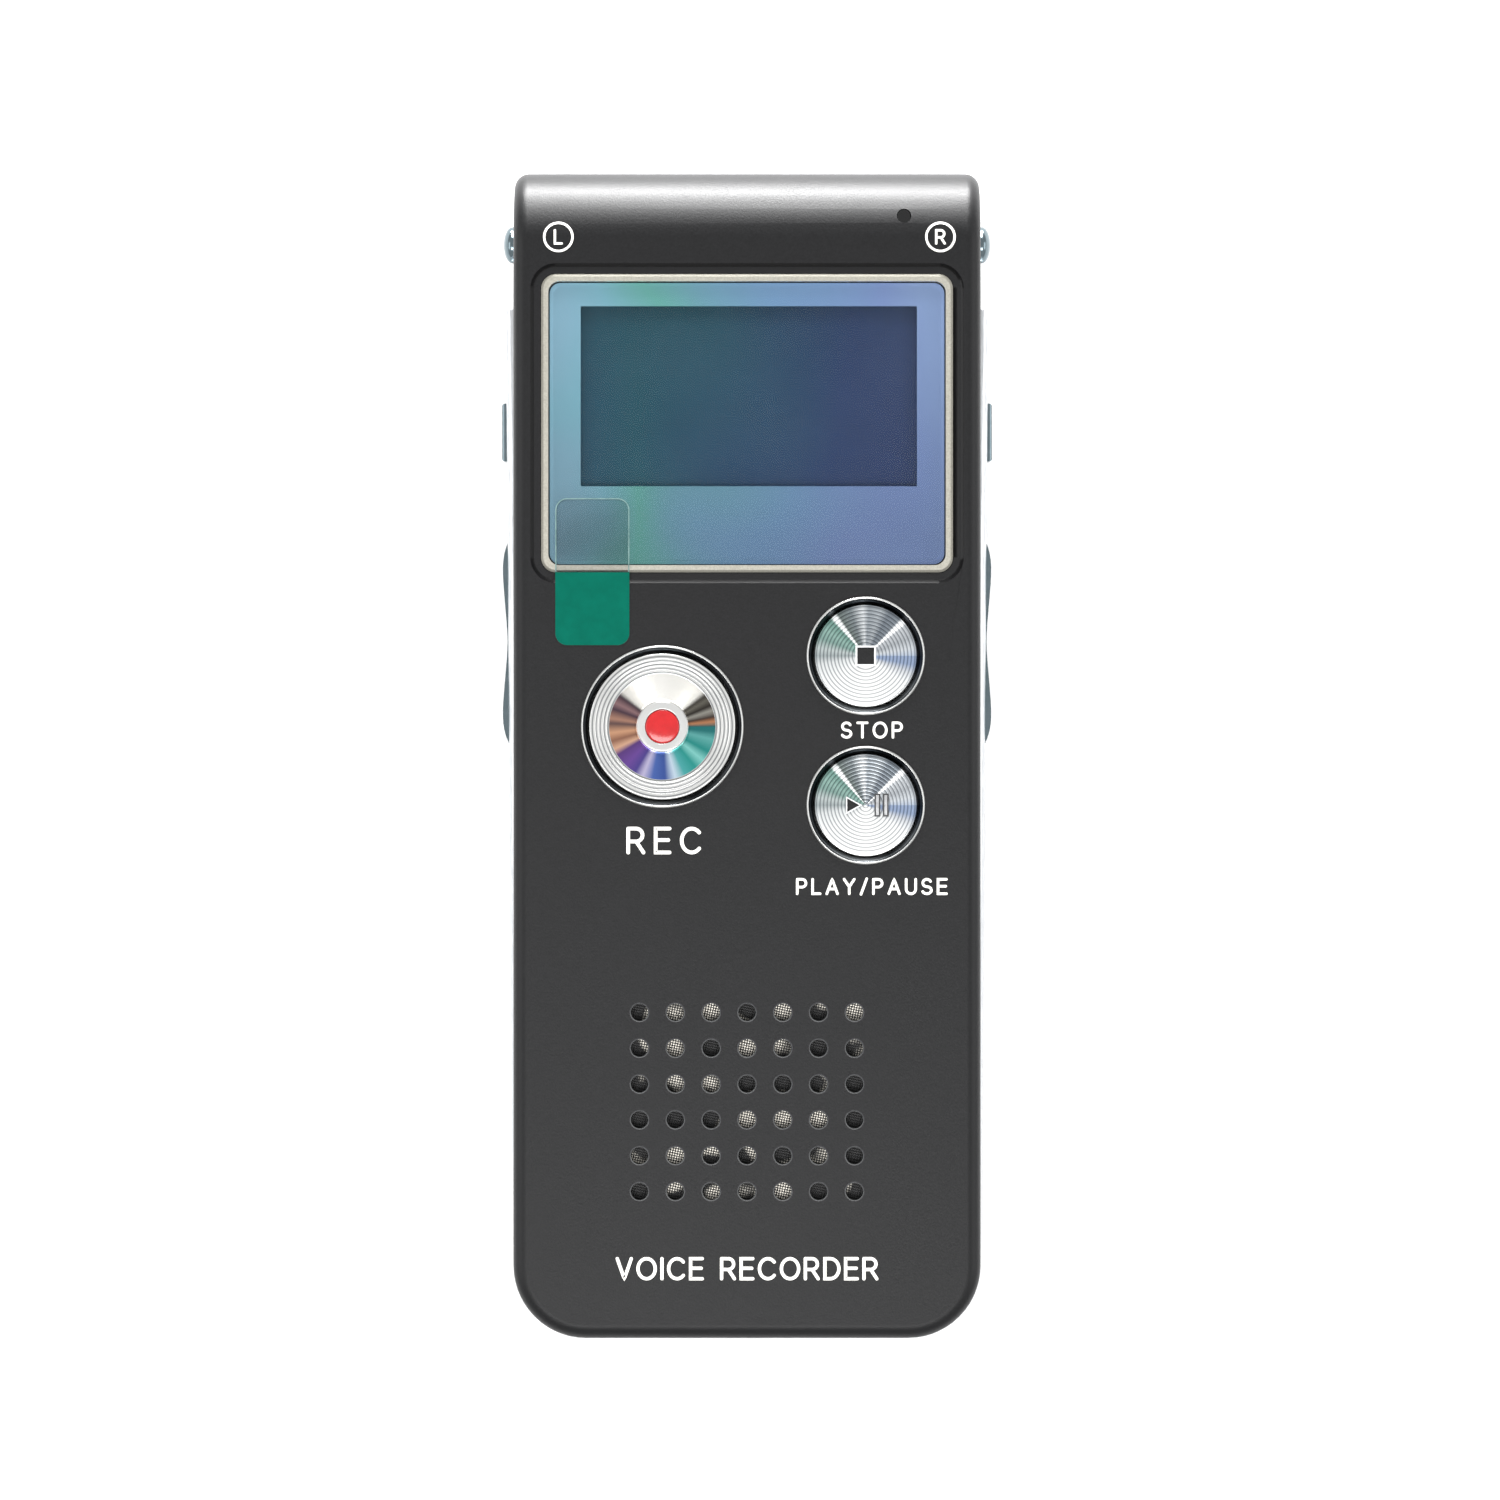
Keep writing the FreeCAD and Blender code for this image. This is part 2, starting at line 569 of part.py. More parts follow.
def mid_frame():
    """Silver frame round the sides and bottom, with bosses, board tabs, rocker lugs and end tongues."""
    low = FRAME_LOW
    high = FRAME_HIGH
    half_ring = half_frame_plan().extrude(Vector(0, 0, high - low))
    half_ring.translate(Vector(0, 0, low))
    body = half_ring.fuse(mirrored(half_ring)).removeSplitter()
    rim = [
        e for e in body.Edges
        if abs(e.tangentAt((e.FirstParameter + e.LastParameter) / 2).z) < 1 - ALONG
        and e.CenterOfMass.y < FRAME_TOP_Y
    ]
    body = body.makeFillet(FRAME_EDGE, rim)
    hollow = block(-INNER_HALF, INNER_HALF, INNER_END, HALF_LENGTH, 0, CASE_THICKNESS)
    inner = case_form(WALL)
    body = body.cut(inner.common(hollow))
    body = body.cut(nose_zone(SEAM))
    slot_half = SIDE_HEIGHT / 2 + PLAY_GAP
    extras = []
    for y in BOSS_YS:
        boss = rod(BOSS_RADIUS, BOSS_X, y, WALL + SEAM, high)
        web = block(BOSS_X, INNER_HALF + WALL / 2, y - RIB_HALF, y + RIB_HALF, low, high)
        extras += [boss, web]
    rooted = INNER_HALF + WALL / 2
    clear = INNER_HALF - PLAY_GAP
    tab_in = BOSS_X - BOSS_RADIUS
    for y in BOARD_SCREW_YS:
        extras.append(block(tab_in, clear, y - TAB_HALF, y + TAB_HALF, low - WALL / 2, BOARD_LOW))
        extras.append(block(tab_in, rooted, y - TAB_HALF, y + TAB_HALF, low, BOARD_LOW))
    lug_in = PIVOT_X - LUG_REACH / 2
    lug_low = ROCKER_Y - RIB_HALF
    lug_high = ROCKER_Y + RIB_HALF
    extras.append(block(lug_in, rooted, lug_low, lug_high, low, MID - slot_half))
    extras.append(block(lug_in, rooted, lug_low, lug_high, MID + slot_half, high))
    tongue_in = INNER_HALF - WALL
    tongue_low = FRAME_TOP_Y - TONGUE_LENGTH
    for tongue_out, tongue_high in ((clear, FRAME_TOP_Y + TONGUE_LENGTH), (rooted, FRAME_TOP_Y - WALL)):
        extras.append(block(
            tongue_in, tongue_out, tongue_low, tongue_high, MID - RIB_HALF, MID + RIB_HALF,
        ))
    body = body.fuse(extras + [mirrored(piece) for piece in extras]).removeSplitter()
    far = HALF_WIDTH + FRAME_OVERHANG + OVERSHOOT
    cuts = []
    for y, length in ((ROCKER_Y, ROCKER_LENGTH), (SIDE_BUTTON_Y, SIDE_BUTTON_LENGTH)):
        cuts.append(block(
            INNER_HALF - WALL, far, y - length / 2 - PLAY_GAP, y + length / 2 + PLAY_GAP,
            MID - slot_half, MID + slot_half,
        ))
    cuts.append(rod(PIN_RADIUS + FIT_GAP, PIVOT_X, ROCKER_Y, low, high))
    for y in BOSS_YS:
        cuts.append(rod(SCREW_RADIUS + PLAY_GAP, BOSS_X, y, 0, high + OVERSHOOT))
    for y in BOARD_SCREW_YS:
        cuts.append(rod(BOARD_SCREW_RADIUS + FIT_GAP, BOSS_X, y, 0, high))
    end = -HALF_LENGTH - OVERSHOOT
    cuts.append(long_rod(JACK_COLLAR + SEAM, JACK_X, end, INNER_END + OVERSHOOT, MID))
    cuts += [mirrored(piece) for piece in cuts]
    mouth_half = USB_WIDTH / 2 - USB_SHEET
    mouth_high = USB_HEIGHT / 2 - USB_SHEET
    cuts.append(block(
        -mouth_half, mouth_half, end, INNER_END + OVERSHOOT, MID - mouth_high, MID + mouth_high,
    ))
    return body.cut(cuts)


def case_screws():
    """Four small screws from the back, through the frame and into the front cover."""
    arm = SCREW_HEAD_RADIUS * SCREW_CROSS_SHARE
    slim = arm / SCREW_CROSS_SLIM
    cross_top = SCREW_SINK + SCREW_HEAD_HEIGHT / 2
    screws = []
    for x in (-BOSS_X, BOSS_X):
        for y in BOSS_YS:
            head = rod(SCREW_HEAD_RADIUS, x, y, SCREW_SINK, SCREW_HEAD_TOP)
            shank = rod(SCREW_RADIUS, x, y, SCREW_HEAD_TOP, INNER_TOP - WALL)
            cross = [
                block(x - arm, x + arm, y - slim, y + slim, 0, cross_top),
                block(x - slim, x + slim, y - arm, y + arm, 0, cross_top),
            ]
            screws.append(head.fuse(shank).cut(cross))
    return Part.makeCompound(screws)


# ---- front buttons -----------------------------------------------------------------------------
def button_ring(x, y, radius):
    """Chrome ring with a bright outer bevel and an inner slope."""
    inner = radius - RING_WIDTH
    top = CASE_THICKNESS + RING_HEIGHT
    return turned([
        (inner, INNER_TOP), (radius, INNER_TOP), (radius, CASE_THICKNESS + RING_HEIGHT / 2),
        (radius - RING_WIDTH / 4, top), (radius - RING_WIDTH / 2, top), (inner, CASE_THICKNESS),
    ], x, y)


def button_foot(x, y, radius):
    """The part of a button below the cover: a flange that holds it in and a stem."""
    flange = rod(radius + FLANGE_WIDTH, x, y, FLANGE_LOW, FLANGE_TOP)
    stem = rod(STEM_RADIUS, x, y, STEM_LOW, FLANGE_LOW)
    return flange.fuse(stem)


def cap_radius(ring_radius):
    return ring_radius - RING_WIDTH - PLAY_GAP


def rec_button():
    """Dished round button with a raised ring round the red dot."""
    radius = cap_radius(REC_RING_RADIUS)
    cap = turned([
        (0, FLANGE_TOP), (radius, FLANGE_TOP), (radius, BUTTON_TOP - REC_EDGE),
        (radius - REC_EDGE, BUTTON_TOP), (REC_DISH_RADIUS, BUTTON_TOP), (REC_BOSS_RADIUS, REC_FLOOR),
        (REC_BOSS_RADIUS, REC_BOSS_TOP), (0, REC_BOSS_TOP),
    ], REC_X, REC_Y)
    seat = rod(REC_DOT_RADIUS + FIT_GAP, REC_X, REC_Y, REC_BOSS_TOP - REC_DOT_DEPTH, BUTTON_TOP)
    return cap.fuse(button_foot(REC_X, REC_Y, radius)).cut(seat)


def rec_red_dot():
    """Red insert, slightly domed."""
    base = REC_BOSS_TOP - REC_DOT_DEPTH
    return turned([
        (0, base), (REC_DOT_RADIUS, base), (REC_DOT_RADIUS, REC_BOSS_TOP - REC_DOT_EDGE),
        (REC_DOT_RADIUS * REC_DOT_SHOULDER, REC_BOSS_TOP), (0, REC_BOSS_TOP + REC_DOT_DOME),
    ], REC_X, REC_Y)


def key_button(y):
    """Flat round button with a softened edge."""
    radius = cap_radius(KEY_RING_RADIUS)
    cap = turned([
        (0, FLANGE_TOP), (radius, FLANGE_TOP), (radius, BUTTON_TOP - KEY_EDGE),
        (radius - KEY_EDGE, BUTTON_TOP - KEY_CROWN), (0, BUTTON_TOP),
    ], KEY_X, y)
    return cap.fuse(button_foot(KEY_X, y, radius))


def stop_button():
    """Key with a sunk square."""
    half = ICON_SIZE / 2
    square = block(
        KEY_X - half, KEY_X + half, STOP_Y - half, STOP_Y + half,
        BUTTON_TOP - ICON_DEPTH, BUTTON_TOP + OVERSHOOT,
    )
    return key_button(STOP_Y).cut(square)


def play_button():
    """Key with a sunk triangle and two sunk bars."""
    top = BUTTON_TOP + OVERSHOOT
    low = BUTTON_TOP - ICON_DEPTH
    left = KEY_X - ICON_SIZE * TRIANGLE_START
    half = ICON_SIZE / 2
    corners = [(left, PLAY_Y - half), (left + ICON_SIZE * TRIANGLE_SHARE, PLAY_Y), (left, PLAY_Y + half)]
    marks = [prism(corners, low, top)]
    reach = half * BAR_STRETCH
    for step in BAR_STARTS:
        x = KEY_X + ICON_SIZE * step
        marks.append(block(x, x + ICON_BAR, PLAY_Y - reach, PLAY_Y + reach, low, top))
    return key_button(PLAY_Y).cut(marks)


def plunger(x, y):
    """The switch's own plunger, which goes down with its button."""
    return rod(PLUNGER_RADIUS, x, y, PLUNGER_LOW, STEM_LOW)


def front_switches():
    """One square switch body under each front button."""
    half = SWITCH_LENGTH / 2
    bodies = []
    for x, y in ((REC_X, REC_Y), (KEY_X, STOP_Y), (KEY_X, PLAY_Y)):
        body = block(x - half, x + half, y - half, y + half, BOARD_TOP, SWITCH_TOP)
        bore_low = PLUNGER_LOW - BUTTON_TRAVEL - SEAM
        bore = rod(PLUNGER_RADIUS + PLAY_GAP, x, y, bore_low, SWITCH_TOP + OVERSHOOT)
        bodies.append(body.cut(bore))
    return Part.makeCompound(bodies)


def key_carrier():
    """Plate under the front cover that guides the three stems."""
    left = REC_X - CARRIER_MARGIN
    right = KEY_X + CARRIER_MARGIN
    low = PLAY_Y - CARRIER_MARGIN
    high = STOP_Y + CARRIER_MARGIN
    carrier = plate(
        (left + right) / 2, (low + high) / 2, right - left, high - low,
        CARRIER_LOW, CARRIER_TOP, CARRIER_CORNER,
    )
    holes = [
        rod(STEM_RADIUS + PLAY_GAP, x, y, CARRIER_LOW - OVERSHOOT, CARRIER_TOP + OVERSHOOT)
        for x, y in ((REC_X, REC_Y), (KEY_X, STOP_Y), (KEY_X, PLAY_Y))
    ]
    legs = []
    for x in (left + CARRIER_LEG_INSET, 0):
        for y in (low + CARRIER_LEG_INSET, high - CARRIER_LEG_INSET):
            legs.append(rod(CARRIER_LEG_RADIUS, x, y, BOARD_TOP, CARRIER_LOW + CARRIER_LEG_BITE))
    return carrier.cut(holes).fuse(legs)


# ---- side controls -----------------------------------------------------------------------------
def frame_side(y):
    """How far out the silver frame stands at a place y between its two middle plan points."""
    along = max(0, y) / (AXIS_Y * FRAME_UPPER_SHARE)
    share = FRAME_SPREAD_MIDDLE + (FRAME_SPREAD_UPPER - FRAME_SPREAD_MIDDLE) * along
    return HALF_WIDTH + FRAME_OVERHANG * share


def rocker():
    """Bar with a hump at each end, on a plate that turns on a pin inside the frame."""
    base = frame_side(ROCKER_Y)
    half = ROCKER_LENGTH / 2
    lower = [(-along, rise) for along, rise in reversed(ROCKER_CREST[1:])]
    crest = [
        Vector(base + ROCKER_RISE * rise, ROCKER_Y + half * along, 0)
        for along, rise in lower + list(ROCKER_CREST)
    ]
    curve = Part.BSplineCurve()
    curve.interpolate(crest)
    inner_low = Vector(PLATE_IN, crest[0].y, 0)
    inner_high = Vector(PLATE_IN, crest[-1].y, 0)
    outline = Part.Wire([
        curve.toShape(), Part.makeLine(crest[-1], inner_high),
        Part.makeLine(inner_high, inner_low), Part.makeLine(inner_low, crest[0]),
    ])
    bar = Part.Face(outline).extrude(Vector(0, 0, SIDE_HEIGHT))
    bar.translate(Vector(0, 0, MID - SIDE_HEIGHT / 2))
    foot = block(
        PLATE_IN, PLATE_OUT, ROCKER_Y - half - SIDE_PLATE_EXTRA, ROCKER_Y + half + SIDE_PLATE_EXTRA,
        MID - SIDE_HEIGHT / 2, MID + SIDE_HEIGHT / 2,
    )
    hole = rod(PIN_RADIUS + PIN_CLEARANCE, PIVOT_X, ROCKER_Y, 0, CASE_THICKNESS)
    return bar.fuse(foot).removeSplitter().cut(hole)


def side_button():
    """Small push button with a foot that keeps it inside the frame."""
    base = HALF_WIDTH + FRAME_OVERHANG * FRAME_SPREAD_UPPER + SIDE_BUTTON_RISE
    half = SIDE_BUTTON_LENGTH / 2
    body = block(
        PLATE_IN, base, SIDE_BUTTON_Y - half, SIDE_BUTTON_Y + half,
        MID - SIDE_HEIGHT / 2, MID + SIDE_HEIGHT / 2,
    )
    body = body.makeFillet(SIDE_BUTTON_EDGE, [e for e in body.Edges if e.CenterOfMass.x > base - CLOSE])
    foot = block(
        PLATE_IN, PLATE_OUT + SIDE_PLATE_BACK - PLAY_GAP, SIDE_BUTTON_Y - half - SIDE_PLATE_EXTRA,
        SIDE_BUTTON_Y + half + SIDE_PLATE_EXTRA, MID - SIDE_HEIGHT / 2, MID + SIDE_HEIGHT / 2,
    )
    return body.fuse(foot).removeSplitter()


def side_switches():
    """Two switches behind each rocker and one behind each side button."""
    arm = ROCKER_LENGTH * SWITCH_ARM_SHARE
    bodies = []
    for y in (ROCKER_Y - arm, ROCKER_Y + arm, SIDE_BUTTON_Y):
        bodies.append(block(
            SWITCH_OUT - SWITCH_DEPTH, SWITCH_OUT, y - SWITCH_LENGTH / 2, y + SWITCH_LENGTH / 2,
            BOARD_TOP, BOARD_TOP + STACK * SWITCH_HEIGHT_SHARE,
        ))
    return both_sides(Part.makeCompound(bodies))


def rocker_pins():
    return both_sides(rod(PIN_RADIUS, PIVOT_X, ROCKER_Y, FRAME_LOW, FRAME_HIGH))


# ---- window and display --------------------------------------------------------------------------
def window_bezel():
    """Bright bevelled border round the lens."""
    width = WINDOW_WIDTH
    length = WINDOW_LENGTH
    outer = plate(0, WINDOW_Y, width, length, LENS_LOW, LENS_TOP + SEAM, WINDOW_CORNER)
    top_edges = [e for e in outer.Edges if e.BoundBox.ZMin > LENS_TOP + SEAM - CLOSE]
    outer = outer.makeChamfer(BEZEL_WIDTH / 3, top_edges)
    hole = plate(
        0, WINDOW_Y, width - 2 * BEZEL_WIDTH, length - 2 * BEZEL_WIDTH,
        LENS_LOW - OVERSHOOT, LENS_TOP + OVERSHOOT, WINDOW_CORNER - BEZEL_WIDTH / 2,
    )
    return outer.cut(hole)


def window_lens():
    """Flat mirror-tinted window."""
    side = 2 * BEZEL_WIDTH + 2 * SEAM
    return plate(
        0, WINDOW_Y, WINDOW_WIDTH - side, WINDOW_LENGTH - side,
        LENS_LOW, LENS_TOP, WINDOW_CORNER - BEZEL_WIDTH / 2,
    )


def protective_film():
    """Clear film left on the window, a little smaller than the lens."""
    side = 2 * (BEZEL_WIDTH + FILM_MARGIN)
    return plate(
        0, WINDOW_Y, WINDOW_WIDTH - side, WINDOW_LENGTH - side,
        LENS_TOP, LENS_TOP + FILM_THICKNESS, WINDOW_CORNER - BEZEL_WIDTH / 2,
    )


def pull_tab(low, high, round_low):
    """One end of the film's pull tab, with its free corners rounded."""
    left = -WINDOW_WIDTH / 2 + TAB_INSET
    bottom = LENS_TOP + FILM_THICKNESS
    tab = block(left, left + TAB_WIDTH, low, high, bottom, bottom + FILM_THICKNESS)
    rounded = low if round_low else high
    corners = [e for e in upright_edges(tab) if abs(e.CenterOfMass.y - rounded) < CLOSE]
    return tab.makeFillet(TAB_CORNER, corners)


def pull_tab_clear():
    return pull_tab(WINDOW_LOW, WINDOW_LOW + TAB_OVER_FILM, False)


def pull_tab_green():
    return pull_tab(WINDOW_LOW - TAB_BELOW_WINDOW, WINDOW_LOW, True)


def display_plate(inset, z0, z1):
    width = DISPLAY_WIDTH - 2 * inset
    length = DISPLAY_LENGTH - 2 * inset
    return block(-width / 2, width / 2, DISPLAY_Y - length / 2, DISPLAY_Y + length / 2, z0, z1)


def display_frame():
    """Open plastic tray on four legs that holds the backlight and the display glass."""
    tray = display_plate(0, DISPLAY_LOW, DISPLAY_TOP)
    tray = tray.cut(display_plate(DISPLAY_WALL, DISPLAY_LOW + DISPLAY_FLOOR, DISPLAY_TOP + OVERSHOOT))
    legs = []
    for x in (-DISPLAY_WIDTH / 3, DISPLAY_WIDTH / 3):
        for side in (-1, 1):
            y = DISPLAY_Y + side * (DISPLAY_LENGTH / 2 - DISPLAY_LEG_INSET)
            legs.append(rod(DISPLAY_LEG_RADIUS, x, y, BOARD_TOP, DISPLAY_LOW + DISPLAY_FLOOR / 2))
    half = FLEX_WIDTH / 2 + FLEX_SLOT_EXTRA
    slot = block(
        -half, half, DISPLAY_Y - DISPLAY_LENGTH,
        DISPLAY_Y - DISPLAY_LENGTH / 2 + DISPLAY_WALL + FLEX_SLOT_LOW,
        BACKLIGHT_TOP - FLEX_SLOT_LOW, BACKLIGHT_TOP + FLEX_SLOT_HIGH,
    )
    return tray.fuse(legs).cut(slot)


def display_backlight():
    return display_plate(DISPLAY_WALL + SEAM, DISPLAY_LOW + DISPLAY_FLOOR, BACKLIGHT_TOP)


def display_glass():
    """Two-layer display glass; its lower edge steps in to carry the flex tail."""
    return display_plate(DISPLAY_WALL + SEAM, BACKLIGHT_TOP, DISPLAY_TOP - SEAM)


def display_flex():
    """Thin tail from the display down to its connector on the board."""
    start = DISPLAY_Y - DISPLAY_LENGTH / 2 + DISPLAY_WALL + SEAM
    fold = FLEX_FOLD_Y
    end = FLEX_PLUG_Y + FLEX_PLUG_LENGTH / 2 - FLEX_ENTRY
    high = BACKLIGHT_TOP + FLEX_SHEET
    low = FLEX_PLUG_LEVEL
    half = FLEX_WIDTH / 2
    upper = block(-half, half, fold, start, high, high + FLEX_SHEET)
    drop = block(-half, half, fold, fold + FLEX_SHEET, low, high + FLEX_SHEET)
    lower = block(-half, half, end, fold + FLEX_SHEET, low, low + FLEX_SHEET)
    tail = upper.fuse([drop, lower]).removeSplitter()
    bends = [
        e for e in tail.Edges
        if abs(e.tangentAt(e.FirstParameter).x) > ALONG
        and abs(e.CenterOfMass.y - fold) < FLEX_SHEET / 2 and abs(e.CenterOfMass.z - high) < 2 * FLEX_SHEET
    ]
    return tail.makeFillet(FLEX_SHEET * FLEX_BEND_SHARE, bends)


def display_connector():
    """Low connector that clamps the flex tail."""
    half = FLEX_WIDTH / 2
    cheek = half + FLEX_PLUG_CHEEK
    edge = FLEX_PLUG_LENGTH / 2
    body = block(
        -cheek, cheek, FLEX_PLUG_Y - edge, FLEX_PLUG_Y + edge, BOARD_TOP, BOARD_TOP + FLEX_PLUG_HEIGHT,
    )
    slot = block(
        -half - SEAM, half + SEAM, FLEX_PLUG_Y + edge - FLEX_ENTRY - SEAM, FLEX_PLUG_Y + edge + OVERSHOOT,
        FLEX_PLUG_LEVEL - FIT_GAP, FLEX_PLUG_LEVEL + FLEX_SHEET + FIT_GAP,
    )
    return body.cut(slot)


# ---- nose pieces ---------------------------------------------------------------------------------
def mic_cap():
    """Domed chrome cap on the end of the nose."""
    dome = [(MIC_CAP_RADIUS * out, WALL + MIC_CAP_RISE * up) for out, up in MIC_CAP_PROFILE]
    cap = turned(
        [(0, 0), (MIC_PLUG_RADIUS, 0), (MIC_PLUG_RADIUS, WALL), (MIC_CAP_RADIUS, WALL)] + dome, 0, 0,
    )
    cap.rotate(Vector(0, 0, 0), Vector(0, 1, 0), 90)
    cap.translate(Vector(INNER_HALF, AXIS_Y, MID))
    return cap


def mic_boots():
    """Rubber cup that holds each microphone behind its cap."""
    start = CAPSULE_X - CAPSULE_LENGTH - BOOT_WALL
    cup = cross_rod(CAPSULE_RADIUS + BOOT_WALL, start, CAPSULE_X, AXIS_Y, MID)
    bore = cross_rod(CAPSULE_RADIUS, CAPSULE_X - CAPSULE_LENGTH, CAPSULE_X + OVERSHOOT, AXIS_Y, MID)
    return both_sides(cup.cut(bore))


def mic_capsules():
    return both_sides(cross_rod(
        CAPSULE_RADIUS - FIT_GAP, CAPSULE_X - CAPSULE_LENGTH + FIT_GAP, CAPSULE_X, AXIS_Y, MID,
    ))


def light_pipe():
    """Clear rod from the lamp up into the pin hole, with a collar under the cover."""
    surface = MID + math.sqrt((MID - WALL) ** 2 - (LAMP_Y - AXIS_Y) ** 2)
    pipe = rod(
        LAMP_HOLE_RADIUS - SEAM, LAMP_X, LAMP_Y,
        BOARD_TOP + PIPE_ABOVE_BOARD, surface + WALL * PIPE_IN_HOLE_SHARE,
    )
    collar = rod(
        LAMP_HOLE_RADIUS * PIPE_COLLAR_STRETCH, LAMP_X, LAMP_Y,
        MID + PIPE_COLLAR_LOW, surface - PIPE_COLLAR_DROP,
    )
    return pipe.fuse(collar)


def status_lamp():
    """Small surface-mounted lamp under the light pipe."""
    return chip(LAMP_X, LAMP_Y, LAMP_SIZE, LAMP_SIZE / 2, LAMP_HEIGHT)


# ---- board ---------------------------------------------------------------------------------------
def main_board():
    """Green board with room for the bosses and the three connectors."""
    low = INNER_END + BOARD_END_GAP
    shoulder = AXIS_Y - CAPSULE_RADIUS - BOOT_WALL - BOARD_SHOULDER_GAP
    neck_half = CAPSULE_X - CAPSULE_LENGTH - BOOT_WALL - BOARD_NECK_GAP
    foot_half = BOARD_HALF - CORNER_RADIUS
    board = block(-BOARD_HALF, BOARD_HALF, low + CORNER_RADIUS, shoulder, BOARD_LOW, BOARD_TOP)
    foot = block(-foot_half, foot_half, low, shoulder, BOARD_LOW, BOARD_TOP)
    neck = block(-neck_half, neck_half, 0, AXIS_Y + MID * BOARD_NECK_SHARE, BOARD_LOW, BOARD_TOP)
    board = board.fuse([foot, neck]).removeSplitter()
    cuts = []
    for y in BOSS_YS:
        cuts.append(rod(BOSS_RADIUS + PLAY_GAP, BOSS_X, y, 0, CASE_THICKNESS))
        gap = RIB_HALF + PLAY_GAP
        cuts.append(block(BOSS_X, BOARD_HALF + OVERSHOOT, y - gap, y + gap, 0, CASE_THICKNESS))
    for y in BOARD_SCREW_YS:
        cuts.append(rod(BOARD_SCREW_RADIUS + PLAY_GAP, BOSS_X, y, 0, CASE_THICKNESS))
    jack_half = JACK_BLOCK_WIDTH / 2 + PLAY_GAP
    cuts.append(block(
        JACK_X - jack_half, JACK_X + jack_half, low - OVERSHOOT, JACK_END + PLAY_GAP, 0, CASE_THICKNESS,
    ))
    cuts += [mirrored(piece) for piece in cuts]
    usb_half = USB_WIDTH / 2 + PLAY_GAP
    cuts.append(block(-usb_half, usb_half, low - OVERSHOOT, USB_END + PLAY_GAP, 0, CASE_THICKNESS))
    return board.cut(cuts)


def board_screws():
    """Four screws that hold the board on the frame's tabs."""
    screws = []
    for x in (-BOSS_X, BOSS_X):
        for y in BOARD_SCREW_YS:
            head = rod(BOARD_SCREW_HEAD, x, y, BOARD_TOP, BOARD_TOP + BOARD_SCREW_HEAD_HEIGHT)
            screws.append(head.fuse(rod(BOARD_SCREW_RADIUS, x, y, FRAME_LOW, BOARD_TOP)))
    return Part.makeCompound(screws)


def chip(cx, cy, width, length, height):
    """A part standing on the board."""
    x0 = cx - width / 2
    y0 = cy - length / 2
    return block(x0, x0 + width, y0, y0 + length, BOARD_TOP, BOARD_TOP + height)


def main_chip():
    return chip(DISPLAY_WIDTH * MAIN_CHIP_SHARE, DISPLAY_Y, MAIN_CHIP_SIZE, MAIN_CHIP_SIZE, CHIP_HEIGHT)


def memory_chip():
    return chip(
        DISPLAY_WIDTH * MEMORY_CHIP_SHARE, DISPLAY_Y, MEMORY_CHIP_WIDTH, MEMORY_CHIP_LENGTH, CHIP_HEIGHT,
    )


def amplifier_chip():
    return chip(REC_X, SOUND_PARTS_Y, AMPLIFIER_SIZE, AMPLIFIER_SIZE, AMPLIFIER_HEIGHT)


def crystal():
    return chip(0, SOUND_PARTS_Y, CRYSTAL_LENGTH, CRYSTAL_WIDTH, CRYSTAL_HEIGHT)


def capacitors():
    """Row of small parts beside the amplifier."""
    return Part.makeCompound([
        chip(
            CAPACITOR_START + CAPACITOR_STEP * step, SOUND_PARTS_Y,
            CAPACITOR_WIDTH, CAPACITOR_LENGTH, CAPACITOR_WIDTH,
        )
        for step in range(CAPACITOR_COUNT)
    ])


# ---- speaker -------------------------------------------------------------------------------------
def speaker_basket():
    """Shallow round metal basket."""
    bore = SPEAKER_RADIUS - BASKET_WALL
    throat = SPEAKER_RADIUS * MAGNET_SHARE + FIT_GAP
    return turned([
        (throat, BASKET_LOW), (SPEAKER_RADIUS, BASKET_LOW), (SPEAKER_RADIUS, GASKET_LOW),
        (bore, GASKET_LOW), (bore, BASKET_FLOOR), (throat, BASKET_FLOOR),
    ], 0, SPEAKER_Y)


def speaker_magnet():
    return rod(SPEAKER_RADIUS * MAGNET_SHARE, 0, SPEAKER_Y, BOARD_TOP + MAGNET_ABOVE_BOARD, BASKET_FLOOR)


def speaker_cone():
    """Thin dished cone with a domed middle and a flat rim."""
    edge = SPEAKER_RADIUS - BASKET_WALL - SEAM
    top = GASKET_LOW - SEAM
    room = (top - BASKET_LOW) * CONE_DEPTH_SHARE
    under = [(edge * out, top - room + room * up) for out, up in CONE_PROFILE]
    over = [(radius, height + CONE_SHEET) for radius, height in reversed(under)]
    return turned(under + over, 0, SPEAKER_Y)


def speaker_gasket():
    """Foam ring between the basket and the gauze."""
    inner = SPEAKER_RADIUS - GASKET_WIDTH
    return turned([
        (inner, GASKET_LOW), (SPEAKER_RADIUS, GASKET_LOW), (SPEAKER_RADIUS, MESH_LOW), (inner, MESH_LOW),
    ], 0, SPEAKER_Y)


def speaker_mesh():
    """Fine woven sheet behind the holes."""
    border = 2 * (HOLE_RADIUS + MESH_MARGIN)
    width = HOLE_PITCH * (HOLE_COLUMNS - 1) + border
    length = HOLE_PITCH * (HOLE_ROWS - 1) + border
    return plate(0, SPEAKER_Y, width, length, MESH_LOW, MESH_LOW + MESH_THICKNESS, MESH_CORNER)


# ---- battery -------------------------------------------------------------------------------------
def battery():
    """Flat foil cell."""
    return plate(
        0, (BATTERY_LOW_Y + BATTERY_HIGH_Y) / 2, 2 * BATTERY_HALF, BATTERY_HIGH_Y - BATTERY_LOW_Y,
        BATTERY_LOW, BATTERY_TOP, BATTERY_CORNER,
    )


